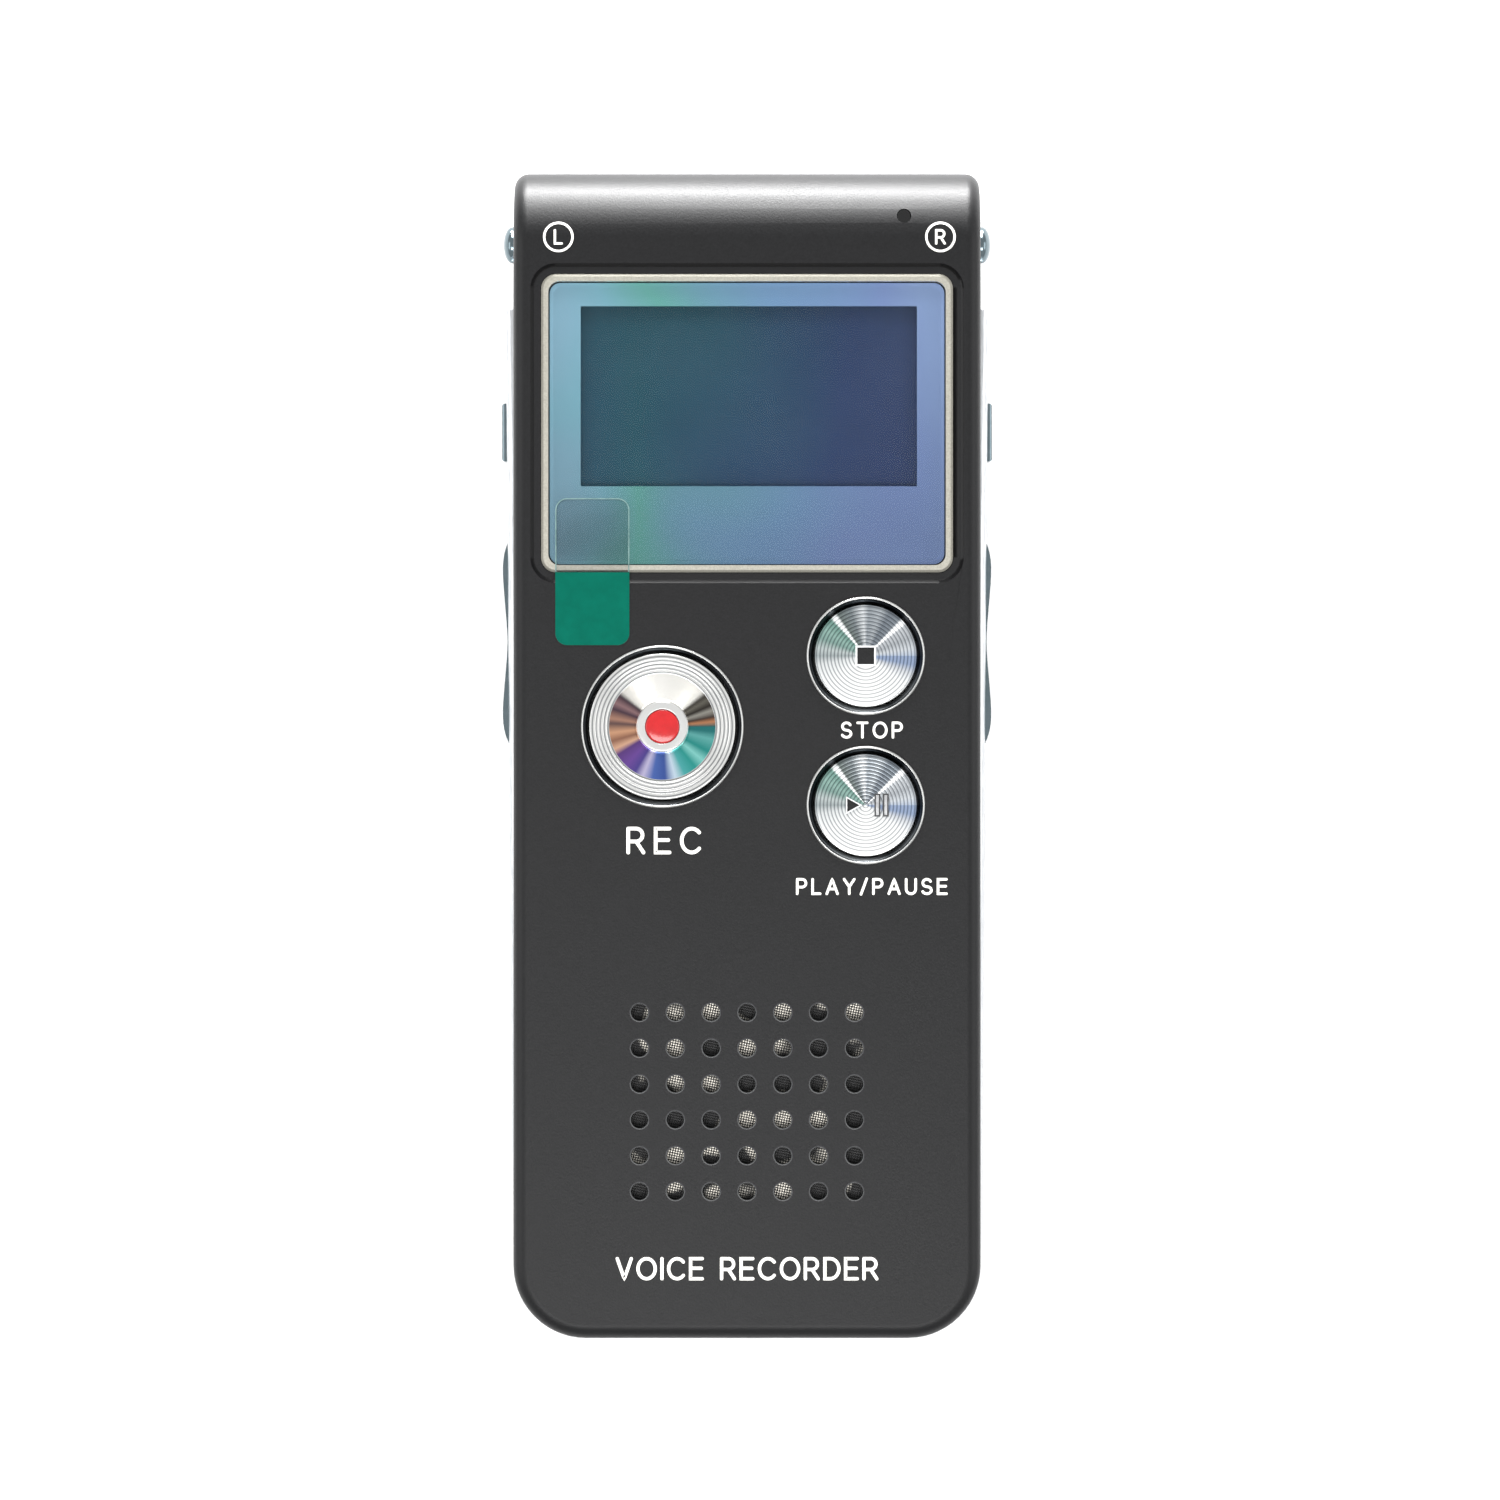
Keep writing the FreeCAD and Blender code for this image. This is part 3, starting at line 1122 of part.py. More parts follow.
def battery_pad():
    side = BATTERY_HALF - BATTERY_PAD_INSET
    low = BATTERY_LOW_Y + BATTERY_PAD_INSET
    return block(-side, side, low, BATTERY_HIGH_Y - BATTERY_PAD_INSET, WALL, BATTERY_LOW)


def battery_lead(x):
    """Short insulated wire from the cell to its connector."""
    return long_rod(LEAD_RADIUS, x, BATTERY_HIGH_Y, BATTERY_HIGH_Y + LEAD_LENGTH, BOARD_LOW - LEAD_DROP)


def battery_connector():
    half = BATTERY_PLUG_WIDTH / 2
    y = BATTERY_HIGH_Y + LEAD_LENGTH
    return block(-half, half, y, y + BATTERY_PLUG_LENGTH, BOARD_LOW - BATTERY_PLUG_HEIGHT, BOARD_LOW)


# ---- connectors ----------------------------------------------------------------------------------
def jack():
    """Black socket block with a round collar that comes out flush with the bottom end."""
    half = JACK_BLOCK_WIDTH / 2
    body = block(
        JACK_X - half, JACK_X + half, INNER_END + SEAM, JACK_END,
        MID - JACK_BLOCK_HEIGHT / 2, MID + JACK_BLOCK_HEIGHT / 2,
    )
    outer_corner = [
        e for e in upright_edges(body) if e.CenterOfMass.x > JACK_X and e.CenterOfMass.y < JACK_END - half
    ]
    body = body.makeChamfer(half * JACK_CORNER_SHARE, outer_corner)
    collar = long_rod(JACK_COLLAR, JACK_X, -HALF_LENGTH, INNER_END + OVERSHOOT, MID)
    bore = long_rod(JACK_RADIUS, JACK_X, -HALF_LENGTH - OVERSHOOT, JACK_END - JACK_BACK_WALL, MID)
    return body.fuse(collar).cut(bore)


def usb_shell():
    """Folded steel shell, closed at the back."""
    half = USB_WIDTH / 2
    high = USB_HEIGHT / 2
    outer = block(-half, half, INNER_END + SEAM, USB_END, MID - high, MID + high)
    inner = block(
        -half + USB_SHEET, half - USB_SHEET, INNER_END - OVERSHOOT, USB_END - USB_SHEET,
        MID - high + USB_SHEET, MID + high - USB_SHEET,
    )
    return outer.cut(inner)


def usb_tongue():
    """Contact tongue on its back block."""
    half = USB_WIDTH / 2 - USB_SHEET - SEAM
    high = USB_HEIGHT / 2 - USB_SHEET - SEAM
    start = USB_END - USB_BLOCK_LENGTH
    back = block(-half, half, start, USB_END - USB_SHEET - SEAM, MID - high, MID + high)
    slim = half * USB_TONGUE_SHARE
    tongue = block(
        -slim, slim, INNER_END + USB_TONGUE_START, start + USB_TONGUE_BITE,
        MID + USB_TONGUE_LOW, MID + USB_TONGUE_HIGH,
    )
    return back.fuse(tongue)


PIECES = {
    "front_cover": front_cover,
    "rear_cover": rear_cover,
    "mid_frame": mid_frame,
    "case_screws": case_screws,
    "rec_ring": lambda: button_ring(REC_X, REC_Y, REC_RING_RADIUS),
    "stop_ring": lambda: button_ring(KEY_X, STOP_Y, KEY_RING_RADIUS),
    "play_ring": lambda: button_ring(KEY_X, PLAY_Y, KEY_RING_RADIUS),
    "rec_button": rec_button,
    "rec_red_dot": rec_red_dot,
    "rec_plunger": lambda: plunger(REC_X, REC_Y),
    "stop_button": stop_button,
    "stop_plunger": lambda: plunger(KEY_X, STOP_Y),
    "play_button": play_button,
    "play_plunger": lambda: plunger(KEY_X, PLAY_Y),
    "front_switches": front_switches,
    "key_carrier": key_carrier,
    "right_rocker": rocker,
    "left_rocker": lambda: mirrored(rocker()),
    "right_button": side_button,
    "left_button": lambda: mirrored(side_button()),
    "side_switches": side_switches,
    "rocker_pins": rocker_pins,
    "window_bezel": window_bezel,
    "window_lens": window_lens,
    "protective_film": protective_film,
    "pull_tab_clear": pull_tab_clear,
    "pull_tab_green": pull_tab_green,
    "display_frame": display_frame,
    "display_backlight": display_backlight,
    "display_glass": display_glass,
    "display_flex": display_flex,
    "display_connector": display_connector,
    "mic_cap_right": mic_cap,
    "mic_cap_left": lambda: mirrored(mic_cap()),
    "mic_boots": mic_boots,
    "mic_capsules": mic_capsules,
    "light_pipe": light_pipe,
    "status_lamp": status_lamp,
    "main_board": main_board,
    "board_screws": board_screws,
    "main_chip": main_chip,
    "memory_chip": memory_chip,
    "amplifier_chip": amplifier_chip,
    "crystal": crystal,
    "capacitors": capacitors,
    "speaker_basket": speaker_basket,
    "speaker_magnet": speaker_magnet,
    "speaker_cone": speaker_cone,
    "speaker_gasket": speaker_gasket,
    "speaker_mesh": speaker_mesh,
    "battery": battery,
    "battery_pad": battery_pad,
    "battery_lead_red": lambda: battery_lead(LEAD_X),
    "battery_lead_black": lambda: battery_lead(-LEAD_X),
    "battery_connector": battery_connector,
    "earphone_jack": lambda: mirrored(jack()),
    "microphone_jack": jack,
    "usb_shell": usb_shell,
    "usb_tongue": usb_tongue,
}

os.makedirs("parts", exist_ok=True)
for name, make in PIECES.items():
    shape = make()
    shape.exportStep("parts/" + name + ".step")
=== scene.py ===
import json
import math

import bmesh
import bpy
import numpy as np
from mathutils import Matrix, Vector

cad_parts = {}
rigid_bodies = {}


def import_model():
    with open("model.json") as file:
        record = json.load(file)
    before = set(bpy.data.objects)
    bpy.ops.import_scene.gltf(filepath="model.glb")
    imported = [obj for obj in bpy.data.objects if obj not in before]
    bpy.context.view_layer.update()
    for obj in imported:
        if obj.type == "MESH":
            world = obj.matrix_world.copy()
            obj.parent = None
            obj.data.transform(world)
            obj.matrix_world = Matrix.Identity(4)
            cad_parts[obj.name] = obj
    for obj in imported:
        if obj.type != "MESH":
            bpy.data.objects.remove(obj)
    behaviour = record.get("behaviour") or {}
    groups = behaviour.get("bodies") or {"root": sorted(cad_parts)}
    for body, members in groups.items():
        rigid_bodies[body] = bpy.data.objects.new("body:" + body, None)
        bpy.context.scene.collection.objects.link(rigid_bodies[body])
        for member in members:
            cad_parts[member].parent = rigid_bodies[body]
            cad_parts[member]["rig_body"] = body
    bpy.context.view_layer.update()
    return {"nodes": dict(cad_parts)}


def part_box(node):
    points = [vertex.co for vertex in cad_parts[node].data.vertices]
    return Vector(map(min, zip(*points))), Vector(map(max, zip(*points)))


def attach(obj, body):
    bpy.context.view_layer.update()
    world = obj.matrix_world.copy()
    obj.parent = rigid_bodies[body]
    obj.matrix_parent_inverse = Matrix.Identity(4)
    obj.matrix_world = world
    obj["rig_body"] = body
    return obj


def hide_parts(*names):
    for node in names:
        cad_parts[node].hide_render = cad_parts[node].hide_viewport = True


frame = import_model()

MM = 0.001
SMOOTH_ANGLE = math.radians(28)  # edges sharper than this stay crisp
SAME_POINT, NO_LENGTH = 1e-6, 1e-7  # metres under which a new piece's points merge and its slivers go
SAME_CAD_POINT, FLAT_ANGLE = 2e-7, 0.0005  # the same for copies of CAD nodes, and what counts as flat


# ---- places read from the frame ----------------------------------------------------------------
def middle(node):
    """Middle of a CAD node's box."""
    low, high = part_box(node)
    return (low + high) / 2


COVER_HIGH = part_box("front_cover")[1]
FACE = COVER_HIGH.z
NOSE_RADIUS = FACE / 2
NOSE_Y = COVER_HIGH.y - NOSE_RADIUS
REC = middle("rec_button")
STOP = middle("stop_button")
PLAY = middle("play_button")
LENS_LOW, LENS_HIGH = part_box("window_lens")


# ---- sizes in mm -----------------------------------------------------------------------------------
COVER_INNER = FACE / MM - 1.2  # inner side of the 1.2 mm front wall
FLANGE_GAP, FLANGE_THICKNESS, FLANGE_REACH = 0.5, 0.7, 0.6  # flange that keeps a button in its hole
STEM_RADIUS = 1.6
RING_WIDTH = 0.55
RING_LIP = 0.17
DISH_RADIUS, COLLAR_RADIUS, DOT_RADIUS = 4.5, 2.1, 1.45  # on the REC button
MARK_DEPTH = 0.25
HOLE_PITCH, HOLE_COLUMNS, HOLE_ROWS = 3.0, 7, 6
SPEAKER_X, SPEAKER_Y = 0.0, -29.13
DISPLAY_CENTRE = (0.15, 30.0)
DISPLAY_SIZE = (28.2, 15.1)
MASK_INSET, MASK_LIFT, MASK_THICKNESS = 0.1, 0.05, 0.03
TAB_LINE, TAB_CORNER = 0.045, 0.94
INK = 0.02  # thickness of the printing
INK_GAP = INK / 8  # kept under it, so that it never lies in the plane of the face
MITRE = 1.45  # longest offset at a sharp bend, in half widths


# ---- meshes --------------------------------------------------------------------------------------
def keep_mesh(name, verts, faces, body, uv=None):
    """Makes a piece from arrays of points and quads, closes seams and poles, and lets it ride on a body."""
    mesh = bpy.data.meshes.new(name)
    mesh.from_pydata(verts.reshape(-1, 3).tolist(), [], faces.tolist())
    if uv is not None:
        layer = mesh.uv_layers.new(name="turning")
        layer.data.foreach_set("uv", uv[faces.ravel()].astype(np.float32).ravel())
    work = bmesh.new()
    work.from_mesh(mesh)
    bmesh.ops.remove_doubles(work, verts=work.verts, dist=SAME_POINT)
    bmesh.ops.dissolve_degenerate(work, edges=work.edges, dist=NO_LENGTH)
    bmesh.ops.recalc_face_normals(work, faces=work.faces)
    work.to_mesh(mesh)
    work.free()
    mesh.shade_smooth()
    mesh.set_sharp_from_angle(angle=SMOOTH_ANGLE)
    piece = bpy.data.objects.new(name, mesh)
    bpy.context.scene.collection.objects.link(piece)
    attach(piece, body)
    return piece


def grid_faces(rows, columns, wrap_rows=False, wrap_columns=False):
    """Quads between neighbouring points of a rows by columns grid, joined at its ends where it wraps."""
    row = np.arange(rows if wrap_rows else rows - 1)
    column = np.arange(columns if wrap_columns else columns - 1)
    a, b = np.meshgrid(row, column, indexing="ij")
    a2, b2 = (a + 1) % rows, (b + 1) % columns
    corners = [a * columns + b, a * columns + b2, a2 * columns + b2, a2 * columns + b]
    return np.stack(corners, axis=-1).reshape(-1, 4)


def turned(name, body, profile, centre, axis="z", turns=128, closed=False):
    """A profile of (radius, height) in mm turned about an axis: x = r cos t, y = r sin t, z = h."""
    profile = np.asarray(profile, float) * MM
    angle = np.linspace(0, 2 * math.pi, turns + 1)
    radius, angle_grid = np.meshgrid(profile[:, 0], angle, indexing="ij")
    height = np.repeat(profile[:, 1:2], turns + 1, axis=1)
    parts = [radius * np.cos(angle_grid), radius * np.sin(angle_grid), height]
    if axis == "x":
        parts = [height, parts[0], parts[1]]
    verts = np.stack(parts, axis=-1) + np.array(centre)
    uv = np.stack([angle_grid / (2 * math.pi), radius / MM], axis=-1).reshape(-1, 2)
    faces = grid_faces(len(profile), turns + 1, wrap_rows=closed)
    return keep_mesh(name, verts, faces, body, uv)


def rounded(points, radius, steps=5):
    """A line of points with each inner corner replaced by a quadratic bend starting radius away from it."""
    points = [np.asarray(p, float) for p in points]
    line = [points[0]]
    for before, corner, after in zip(points, points[1:], points[2:]):
        reach_in = min(radius, np.linalg.norm(before - corner) * 0.45)
        reach_out = min(radius, np.linalg.norm(after - corner) * 0.45)
        start = corner + (before - corner) / np.linalg.norm(before - corner) * reach_in
        end = corner + (after - corner) / np.linalg.norm(after - corner) * reach_out
        t = np.linspace(0, 1, steps)[:, None]
        line += list((1 - t) ** 2 * start + 2 * t * (1 - t) * corner + t ** 2 * end)
    line.append(points[-1])
    return np.array(line)


def rounded_rectangle(width, length, corner, steps=8):
    """Points round a rectangle whose corners are quarter circles, anticlockwise from the right side."""
    angle = np.concatenate([np.linspace(k, k + 1, steps) for k in range(4)]) * math.pi / 2
    sign_x = np.repeat([1, -1, -1, 1], steps)
    sign_y = np.repeat([1, 1, -1, -1], steps)
    x = sign_x * (width / 2 - corner) + corner * np.cos(angle)
    y = sign_y * (length / 2 - corner) + corner * np.sin(angle)
    return np.stack([x, y], axis=-1)


def merged_copy(node, name):
    """A copy of a CAD node with its triangles joined, so that its rounded edges shade smoothly."""
    source = frame["nodes"][node]
    work = bmesh.new()
    work.from_mesh(source.data)
    bmesh.ops.remove_doubles(work, verts=work.verts, dist=SAME_CAD_POINT)
    bmesh.ops.dissolve_limit(work, angle_limit=FLAT_ANGLE, verts=work.verts, edges=work.edges)
    mesh = bpy.data.meshes.new(name)
    work.to_mesh(mesh)
    work.free()
    mesh.shade_smooth()
    mesh.set_sharp_from_angle(angle=SMOOTH_ANGLE)
    piece = bpy.data.objects.new(name, mesh)
    bpy.context.scene.collection.objects.link(piece)
    even = piece.modifiers.new("even shading", "WEIGHTED_NORMAL")
    even.keep_sharp = True
    even.weight = 100
    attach(piece, source["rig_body"])
    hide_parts(node)
    return piece


# ---- materials -------------------------------------------------------------------------------------
def linear(code):
    """An sRGB hex colour as linear red, green, blue and alpha."""
    parts = [int(code[k:k + 2], 16) / 255 for k in (1, 3, 5)]
    parts = [c / 12.92 if c <= 0.04045 else ((c + 0.055) / 1.055) ** 2.4 for c in parts]
    return (*parts, 1.0)


def add(material, kind, inputs=None, stops=(), **settings):
    """Adds one shader node: settings are its own options, inputs are socket values or links.

    On a colour ramp, stops are its (position, hex colour).
    """
    made = material.node_tree.nodes.new(kind)
    for key, value in settings.items():
        setattr(made, key, value)
    for key, value in (inputs or {}).items():
        if isinstance(value, bpy.types.NodeSocket):
            material.node_tree.links.new(value, made.inputs[key])
        else:
            made.inputs[key].default_value = value
    for _ in stops[2:]:
        made.color_ramp.elements.new(0.5)
    for count, (position, code) in enumerate(stops):
        made.color_ramp.elements[count].position = position
        made.color_ramp.elements[count].color = linear(code)
    return made


def surface(name, **values):
    """A new material and its surface shader, with the given values on the shader's own sockets."""
    material = bpy.data.materials.new(name)
    material.use_nodes = True
    shader = material.node_tree.nodes["Principled BSDF"]
    for key, value in values.items():
        shader.inputs[key.replace("_", " ")].default_value = value
    return material, shader


def link(material, output, shader, socket):
    """Joins a node's output to a socket of the surface shader."""
    material.node_tree.links.new(output, shader.inputs[socket])


def grained(name, dark, light, grain, bump, rough, metallic=0.0, stretch=(1, 1, 1), **values):
    """A finish whose colour, roughness and height all vary with one fine noise.

    dark and light are its two colours, grain and bump the noise's size and height in mm, rough the range
    of its roughness, and stretch its scale along x, y and z.
    """
    material, shader = surface(name, Metallic=metallic, **values)
    place = add(material, "ShaderNodeTexCoord").outputs["Object"]
    spot = add(material, "ShaderNodeMapping", {"Vector": place, "Scale": stretch})
    noise = add(
        material, "ShaderNodeTexNoise",
        {"Vector": spot.outputs["Vector"], "Scale": 1 / (grain * MM), "Detail": 3.0, "Roughness": 0.6},
    ).outputs["Fac"]
    colour = add(material, "ShaderNodeValToRGB", {"Fac": noise}, [(0.3, dark), (0.7, light)])
    spread = add(material, "ShaderNodeMapRange", {"Value": noise, "To Min": rough[0], "To Max": rough[1]})
    height = add(material, "ShaderNodeBump", {"Height": noise, "Strength": 0.5, "Distance": bump * MM})
    link(material, colour.outputs["Color"], shader, "Base Color")
    link(material, spread.outputs["Result"], shader, "Roughness")
    link(material, height.outputs["Normal"], shader, "Normal")
    return material


def black_anodised_aluminium():
    """Bead-blasted, black-anodised aluminium: near-black with a fine sparkle that greys under the lamp."""
    return grained(
        "black anodised aluminium", "#030304", "#0B0B0D", 0.17, 0.03, (0.35, 0.5), Specular_IOR_Level=0.26,
    )


def satin_aluminium():
    """Satin clear-anodised aluminium: bright, soft, slightly streaked along the case."""
    return grained("satin aluminium", "#B4B6B8", "#CBCDCE", 0.2, 0.002, (0.25, 0.4), 1.0, (1, 0.15, 1))


def chrome_plate():
    """Chrome plate on brass: mirror-bright, with faint polishing haze."""
    return grained("chrome plate", "#C9CBCE", "#E4E5E7", 0.8, 0.0005, (0.04, 0.1), 1.0)


def plated_plastic():
    """Chrome-plated ABS of the side keys: a darker, slightly blue-green chrome with faint draw lines."""
    return grained("chrome-plated ABS", "#626F74", "#6D797E", 0.8, 0.0002, (0.14, 0.18), 1.0)


def plain_steel():
    """Pressed nickel-plated steel: grey, slightly uneven."""
    return grained("nickel-plated steel", "#9A9B9C", "#BBBBBC", 0.4, 0.002, (0.25, 0.4), 1.0)


def black_steel():
    """Blackened steel of the case screws: dark grey with a dull shine."""
    return grained("blackened steel", "#2C2D2F", "#45474A", 0.3, 0.002, (0.3, 0.45), 0.85)


def moulded_black():
    """Moulded black ABS with a fine spark-eroded grain."""
    return grained("moulded black ABS", "#0D0D0E", "#18181A", 0.12, 0.004, (0.4, 0.6))


def moulded_white():
    """Moulded white ABS, slightly warm."""
    return grained("moulded white ABS", "#D2D1CA", "#E6E5DF", 0.2, 0.003, (0.35, 0.5))


def black_foam():
    """Open-cell black foam: rough and full of small pits."""
    return grained("black foam", "#050505", "#1C1C1C", 0.15, 0.08, (0.85, 1.0))


def board_green():
    """Glass-epoxy board under green solder mask."""
    return grained("solder mask", "#0B4A22", "#136B33", 0.5, 0.004, (0.25, 0.4))


def foil_pouch():
    """Aluminium foil pouch of the cell, faintly crumpled."""
    return grained("foil pouch", "#A9ABAD", "#CACBCC", 2.0, 0.05, (0.25, 0.4), 1.0)


def amber_polyimide():
    """Polyimide film: glossy amber."""
    return grained("polyimide film", "#8A4A12", "#A65F1C", 0.6, 0.001, (0.2, 0.3))


def fired_ceramic():
    """Fired ceramic body of small parts."""
    return grained("fired ceramic", "#7A5A40", "#927050", 0.2, 0.002, (0.5, 0.7))


def red_enamel():
    """Moulded red ABS dot, glossy."""
    return grained("glossy red ABS", "#A0080D", "#AE0C12", 0.6, 0.001, (0.12, 0.2), Specular_IOR_Level=0.6)


def soft_rubber():
    """Moulded black silicone rubber."""
    return grained("silicone rubber", "#111112", "#1D1D1E", 0.2, 0.004, (0.6, 0.8))


def clear_acrylic(name="clear acrylic", tint="#F4F7F8"):
    """Cast acrylic, clear or smoked: glossy, index 1.49, with a slow swell in its surface."""
    swell, swell_height = 9 * MM, 0.01 * MM
    material, shader = surface(
        name, Base_Color=linear(tint), Roughness=0.03, IOR=1.49, Transmission_Weight=1.0,
    )
    place = add(material, "ShaderNodeTexCoord").outputs["Object"]
    noise = add(material, "ShaderNodeTexNoise", {"Vector": place, "Scale": 1 / swell, "Detail": 2.0})
    height = add(material, "ShaderNodeBump", {
        "Height": noise.outputs["Fac"], "Strength": 0.2, "Distance": swell_height,
    })
    link(material, height.outputs["Normal"], shader, "Normal")
    return material


def speaker_weave():
    """Woven steel gauze of height |sin x sin y|, pale threads in patches as painted glints, painted shade
    elsewhere.

    Its pitch is 0.21 mm, coarser than the usual 0.1 mm, so that it shows.
    """
    pitch, lean, patch_size, thread_height = 0.21 * MM, math.radians(12), 3.2 * MM, 0.03 * MM
    material, shader = surface("woven steel gauze", Metallic=0.3, Roughness=0.4)
    place = add(material, "ShaderNodeTexCoord").outputs["Object"]
    spot = add(material, "ShaderNodeMapping", {
        "Vector": place, "Scale": (math.pi / pitch,) * 3, "Rotation": (0, 0, lean),
    })
    split = add(material, "ShaderNodeSeparateXYZ", {"Vector": spot.outputs["Vector"]})
    waves = [add(material, "ShaderNodeMath", {0: split.outputs[k]}, operation="SINE") for k in ("X", "Y")]
    lumps = add(
        material, "ShaderNodeMath", {0: waves[0].outputs[0], 1: waves[1].outputs[0]}, operation="MULTIPLY",
    )
    lumps = add(material, "ShaderNodeMath", {0: lumps.outputs[0]}, operation="ABSOLUTE").outputs[0]
    # painted highlight: thread crests near white, dark in the openings between them
    thread_glint = add(material, "ShaderNodeValToRGB", {"Fac": lumps}, [(0.3, "#1A1816"), (0.65, "#FFF9EC")])
    # painted glints in noise patches, painted shade (#0B0B0B) on the gauze elsewhere
    glint_noise = add(material, "ShaderNodeTexNoise", {"Vector": place, "Scale": 1 / patch_size, "Detail": 1.0})
    glint_patches = add(
        material, "ShaderNodeValToRGB", {"Fac": glint_noise.outputs["Fac"]},
        [(0.5, "#000000"), (0.58, "#FFFFFF")],
    )
    mixed = add(material, "ShaderNodeMix", data_type="RGBA", inputs={
        0: glint_patches.outputs["Color"], 6: linear("#0B0B0B"), 7: thread_glint.outputs["Color"],
    })
    height = add(material, "ShaderNodeBump", {"Height": lumps, "Strength": 0.8, "Distance": thread_height})
    link(material, mixed.outputs[2], shader, "Base Color")
    link(material, height.outputs["Normal"], shader, "Normal")
    return material


def ring_turned_metal(name, pitch, depth, painted_reflections, reflection_band=None, metallic=1.0, valley_shade="#FFFFFF"):
    """Chrome-plated face turned on a lathe: fine rings, and glints that fan out from the middle.

    The rings are sin(2 pi r / pitch), with painted shade in their valleys, and painted reflections and
    glints run round the face. With the band's two radii in mm given, the painted reflections keep between
    them, the rings lie beyond them, and the rest is plain chrome. A metallic under one stands for the haze
    of a finely cut face.
    """
    plain, dulling = "#B9B9B7", 0.35
    material, shader = surface(name, Metallic=metallic, Roughness=0.17, Anisotropic=0.6)
    uv = add(material, "ShaderNodeUVMap", uv_map="turning").outputs["UV"]
    split = add(material, "ShaderNodeSeparateXYZ", {"Vector": uv})
    turn, radius = split.outputs["X"], split.outputs["Y"]
    rings = add(material, "ShaderNodeMath", {0: radius, 1: 2 * math.pi / pitch}, operation="MULTIPLY")
    wave = add(material, "ShaderNodeMath", {0: rings.outputs[0]}, operation="SINE").outputs[0]
    if reflection_band:
        beyond = add(material, "ShaderNodeMath", {0: radius, 1: reflection_band[1]}, operation="GREATER_THAN")
        wave = add(
            material, "ShaderNodeMath", {0: wave, 1: beyond.outputs[0]}, operation="MULTIPLY",
        ).outputs[0]
    height = add(material, "ShaderNodeBump", {"Height": wave, "Strength": 0.5, "Distance": depth * MM})
    link(material, height.outputs["Normal"], shader, "Normal")
    along = add(material, "ShaderNodeTangent", direction_type="UV_MAP", uv_map="turning")
    link(material, along.outputs["Tangent"], shader, "Tangent")
    # painted reflections and glints, by share of a turn round the face
    colour = add(material, "ShaderNodeValToRGB", {"Fac": turn}, painted_reflections).outputs["Color"]
    level = add(material, "ShaderNodeMapRange", {"Value": wave, "From Min": -1.0}).outputs["Result"]
    # painted shade in the valleys of the rings
    shade = add(material, "ShaderNodeValToRGB", {"Fac": level}, [(0.1, valley_shade), (0.5, "#FFFFFF")])
    cut = add(material, "ShaderNodeMix", data_type="RGBA", blend_type="MULTIPLY", inputs={
        0: 1.0, 6: linear(plain) if reflection_band else colour, 7: shade.outputs["Color"],
    }).outputs[2]
    if reflection_band:
        half = (reflection_band[1] - reflection_band[0]) / 2
        inside = add(
            material, "ShaderNodeMath", {0: radius, 1: reflection_band[0] + half, 2: half}, operation="COMPARE",
        ).outputs[0]
        cut = add(
            material, "ShaderNodeMix", data_type="RGBA", inputs={0: inside, 6: cut, 7: colour},
        ).outputs[2]
        haze = add(material, "ShaderNodeMapRange", {
            "Value": inside, "To Min": metallic - dulling, "To Max": metallic,
        })
        link(material, haze.outputs["Result"], shader, "Metallic")
    link(material, cut, shader, "Base Color")
    return material


def sideways_painted_reflection(material, cloud, sway, stops):
    """Painted reflection that runs across the window from left to right, swayed by soft clouds.

    The place on the ramp is the place across, from 0 to 1, plus sway times (noise less a half), with
    cloud the noise's size in mm. Gives the colour, and the height up the face with it.
    """
    place = add(material, "ShaderNodeTexCoord").outputs["Object"]
    split = add(material, "ShaderNodeSeparateXYZ", {"Vector": place})
    across = add(material, "ShaderNodeMapRange", {
        "Value": split.outputs["X"], "From Min": LENS_LOW.x, "From Max": LENS_HIGH.x,
    })
    noise = add(material, "ShaderNodeTexNoise", {"Vector": place, "Scale": 1 / (cloud * MM), "Detail": 0.5})
    lean = add(
        material, "ShaderNodeMath", {0: noise.outputs["Fac"], 1: sway, 2: across.outputs["Result"]},
        operation="MULTIPLY_ADD",
    )
    shift = add(material, "ShaderNodeMath", {0: lean.outputs[0], 1: sway / 2}, operation="SUBTRACT")
    # painted reflection across the window
    painted_reflection = add(material, "ShaderNodeValToRGB", {"Fac": shift.outputs[0]}, stops)
    return painted_reflection.outputs["Color"], split.outputs["Y"]


def window_mirror():
    """Mirror-coated film behind the window: its blue-green coat with a painted reflection running teal,
    then blue, then violet, and painted shade that dims it towards the keys.
    """
    material, shader = surface("mirror-coated film", Metallic=0.6, Roughness=0.12)
    painted_reflection, up = sideways_painted_reflection(material, 11, 0.5, [
        (0.0, "#8FBBD0"), (0.12, "#86BDCE"), (0.27, "#6FB7AE"), (0.42, "#77ACBE"), (0.6, "#7DA4CC"),
        (0.85, "#849BCF"), (1.0, "#8EA6D2"),
    ])
    height = add(material, "ShaderNodeMapRange", {
        "Value": up, "From Min": LENS_LOW.y, "From Max": LENS_HIGH.y,
    })
    # painted shade, darker towards the keys
    painted_shade_ramp = add(
        material, "ShaderNodeValToRGB", {"Fac": height.outputs["Result"]},
        [(0.1, "#CFCFCF"), (0.95, "#FFFFFF")],
    )
    shaded_reflection = add(material, "ShaderNodeMix", data_type="RGBA", blend_type="MULTIPLY", inputs={
        0: 1.0, 6: painted_reflection, 7: painted_shade_ramp.outputs["Color"],
    })
    link(material, shaded_reflection.outputs[2], shader, "Base Color")
    return material


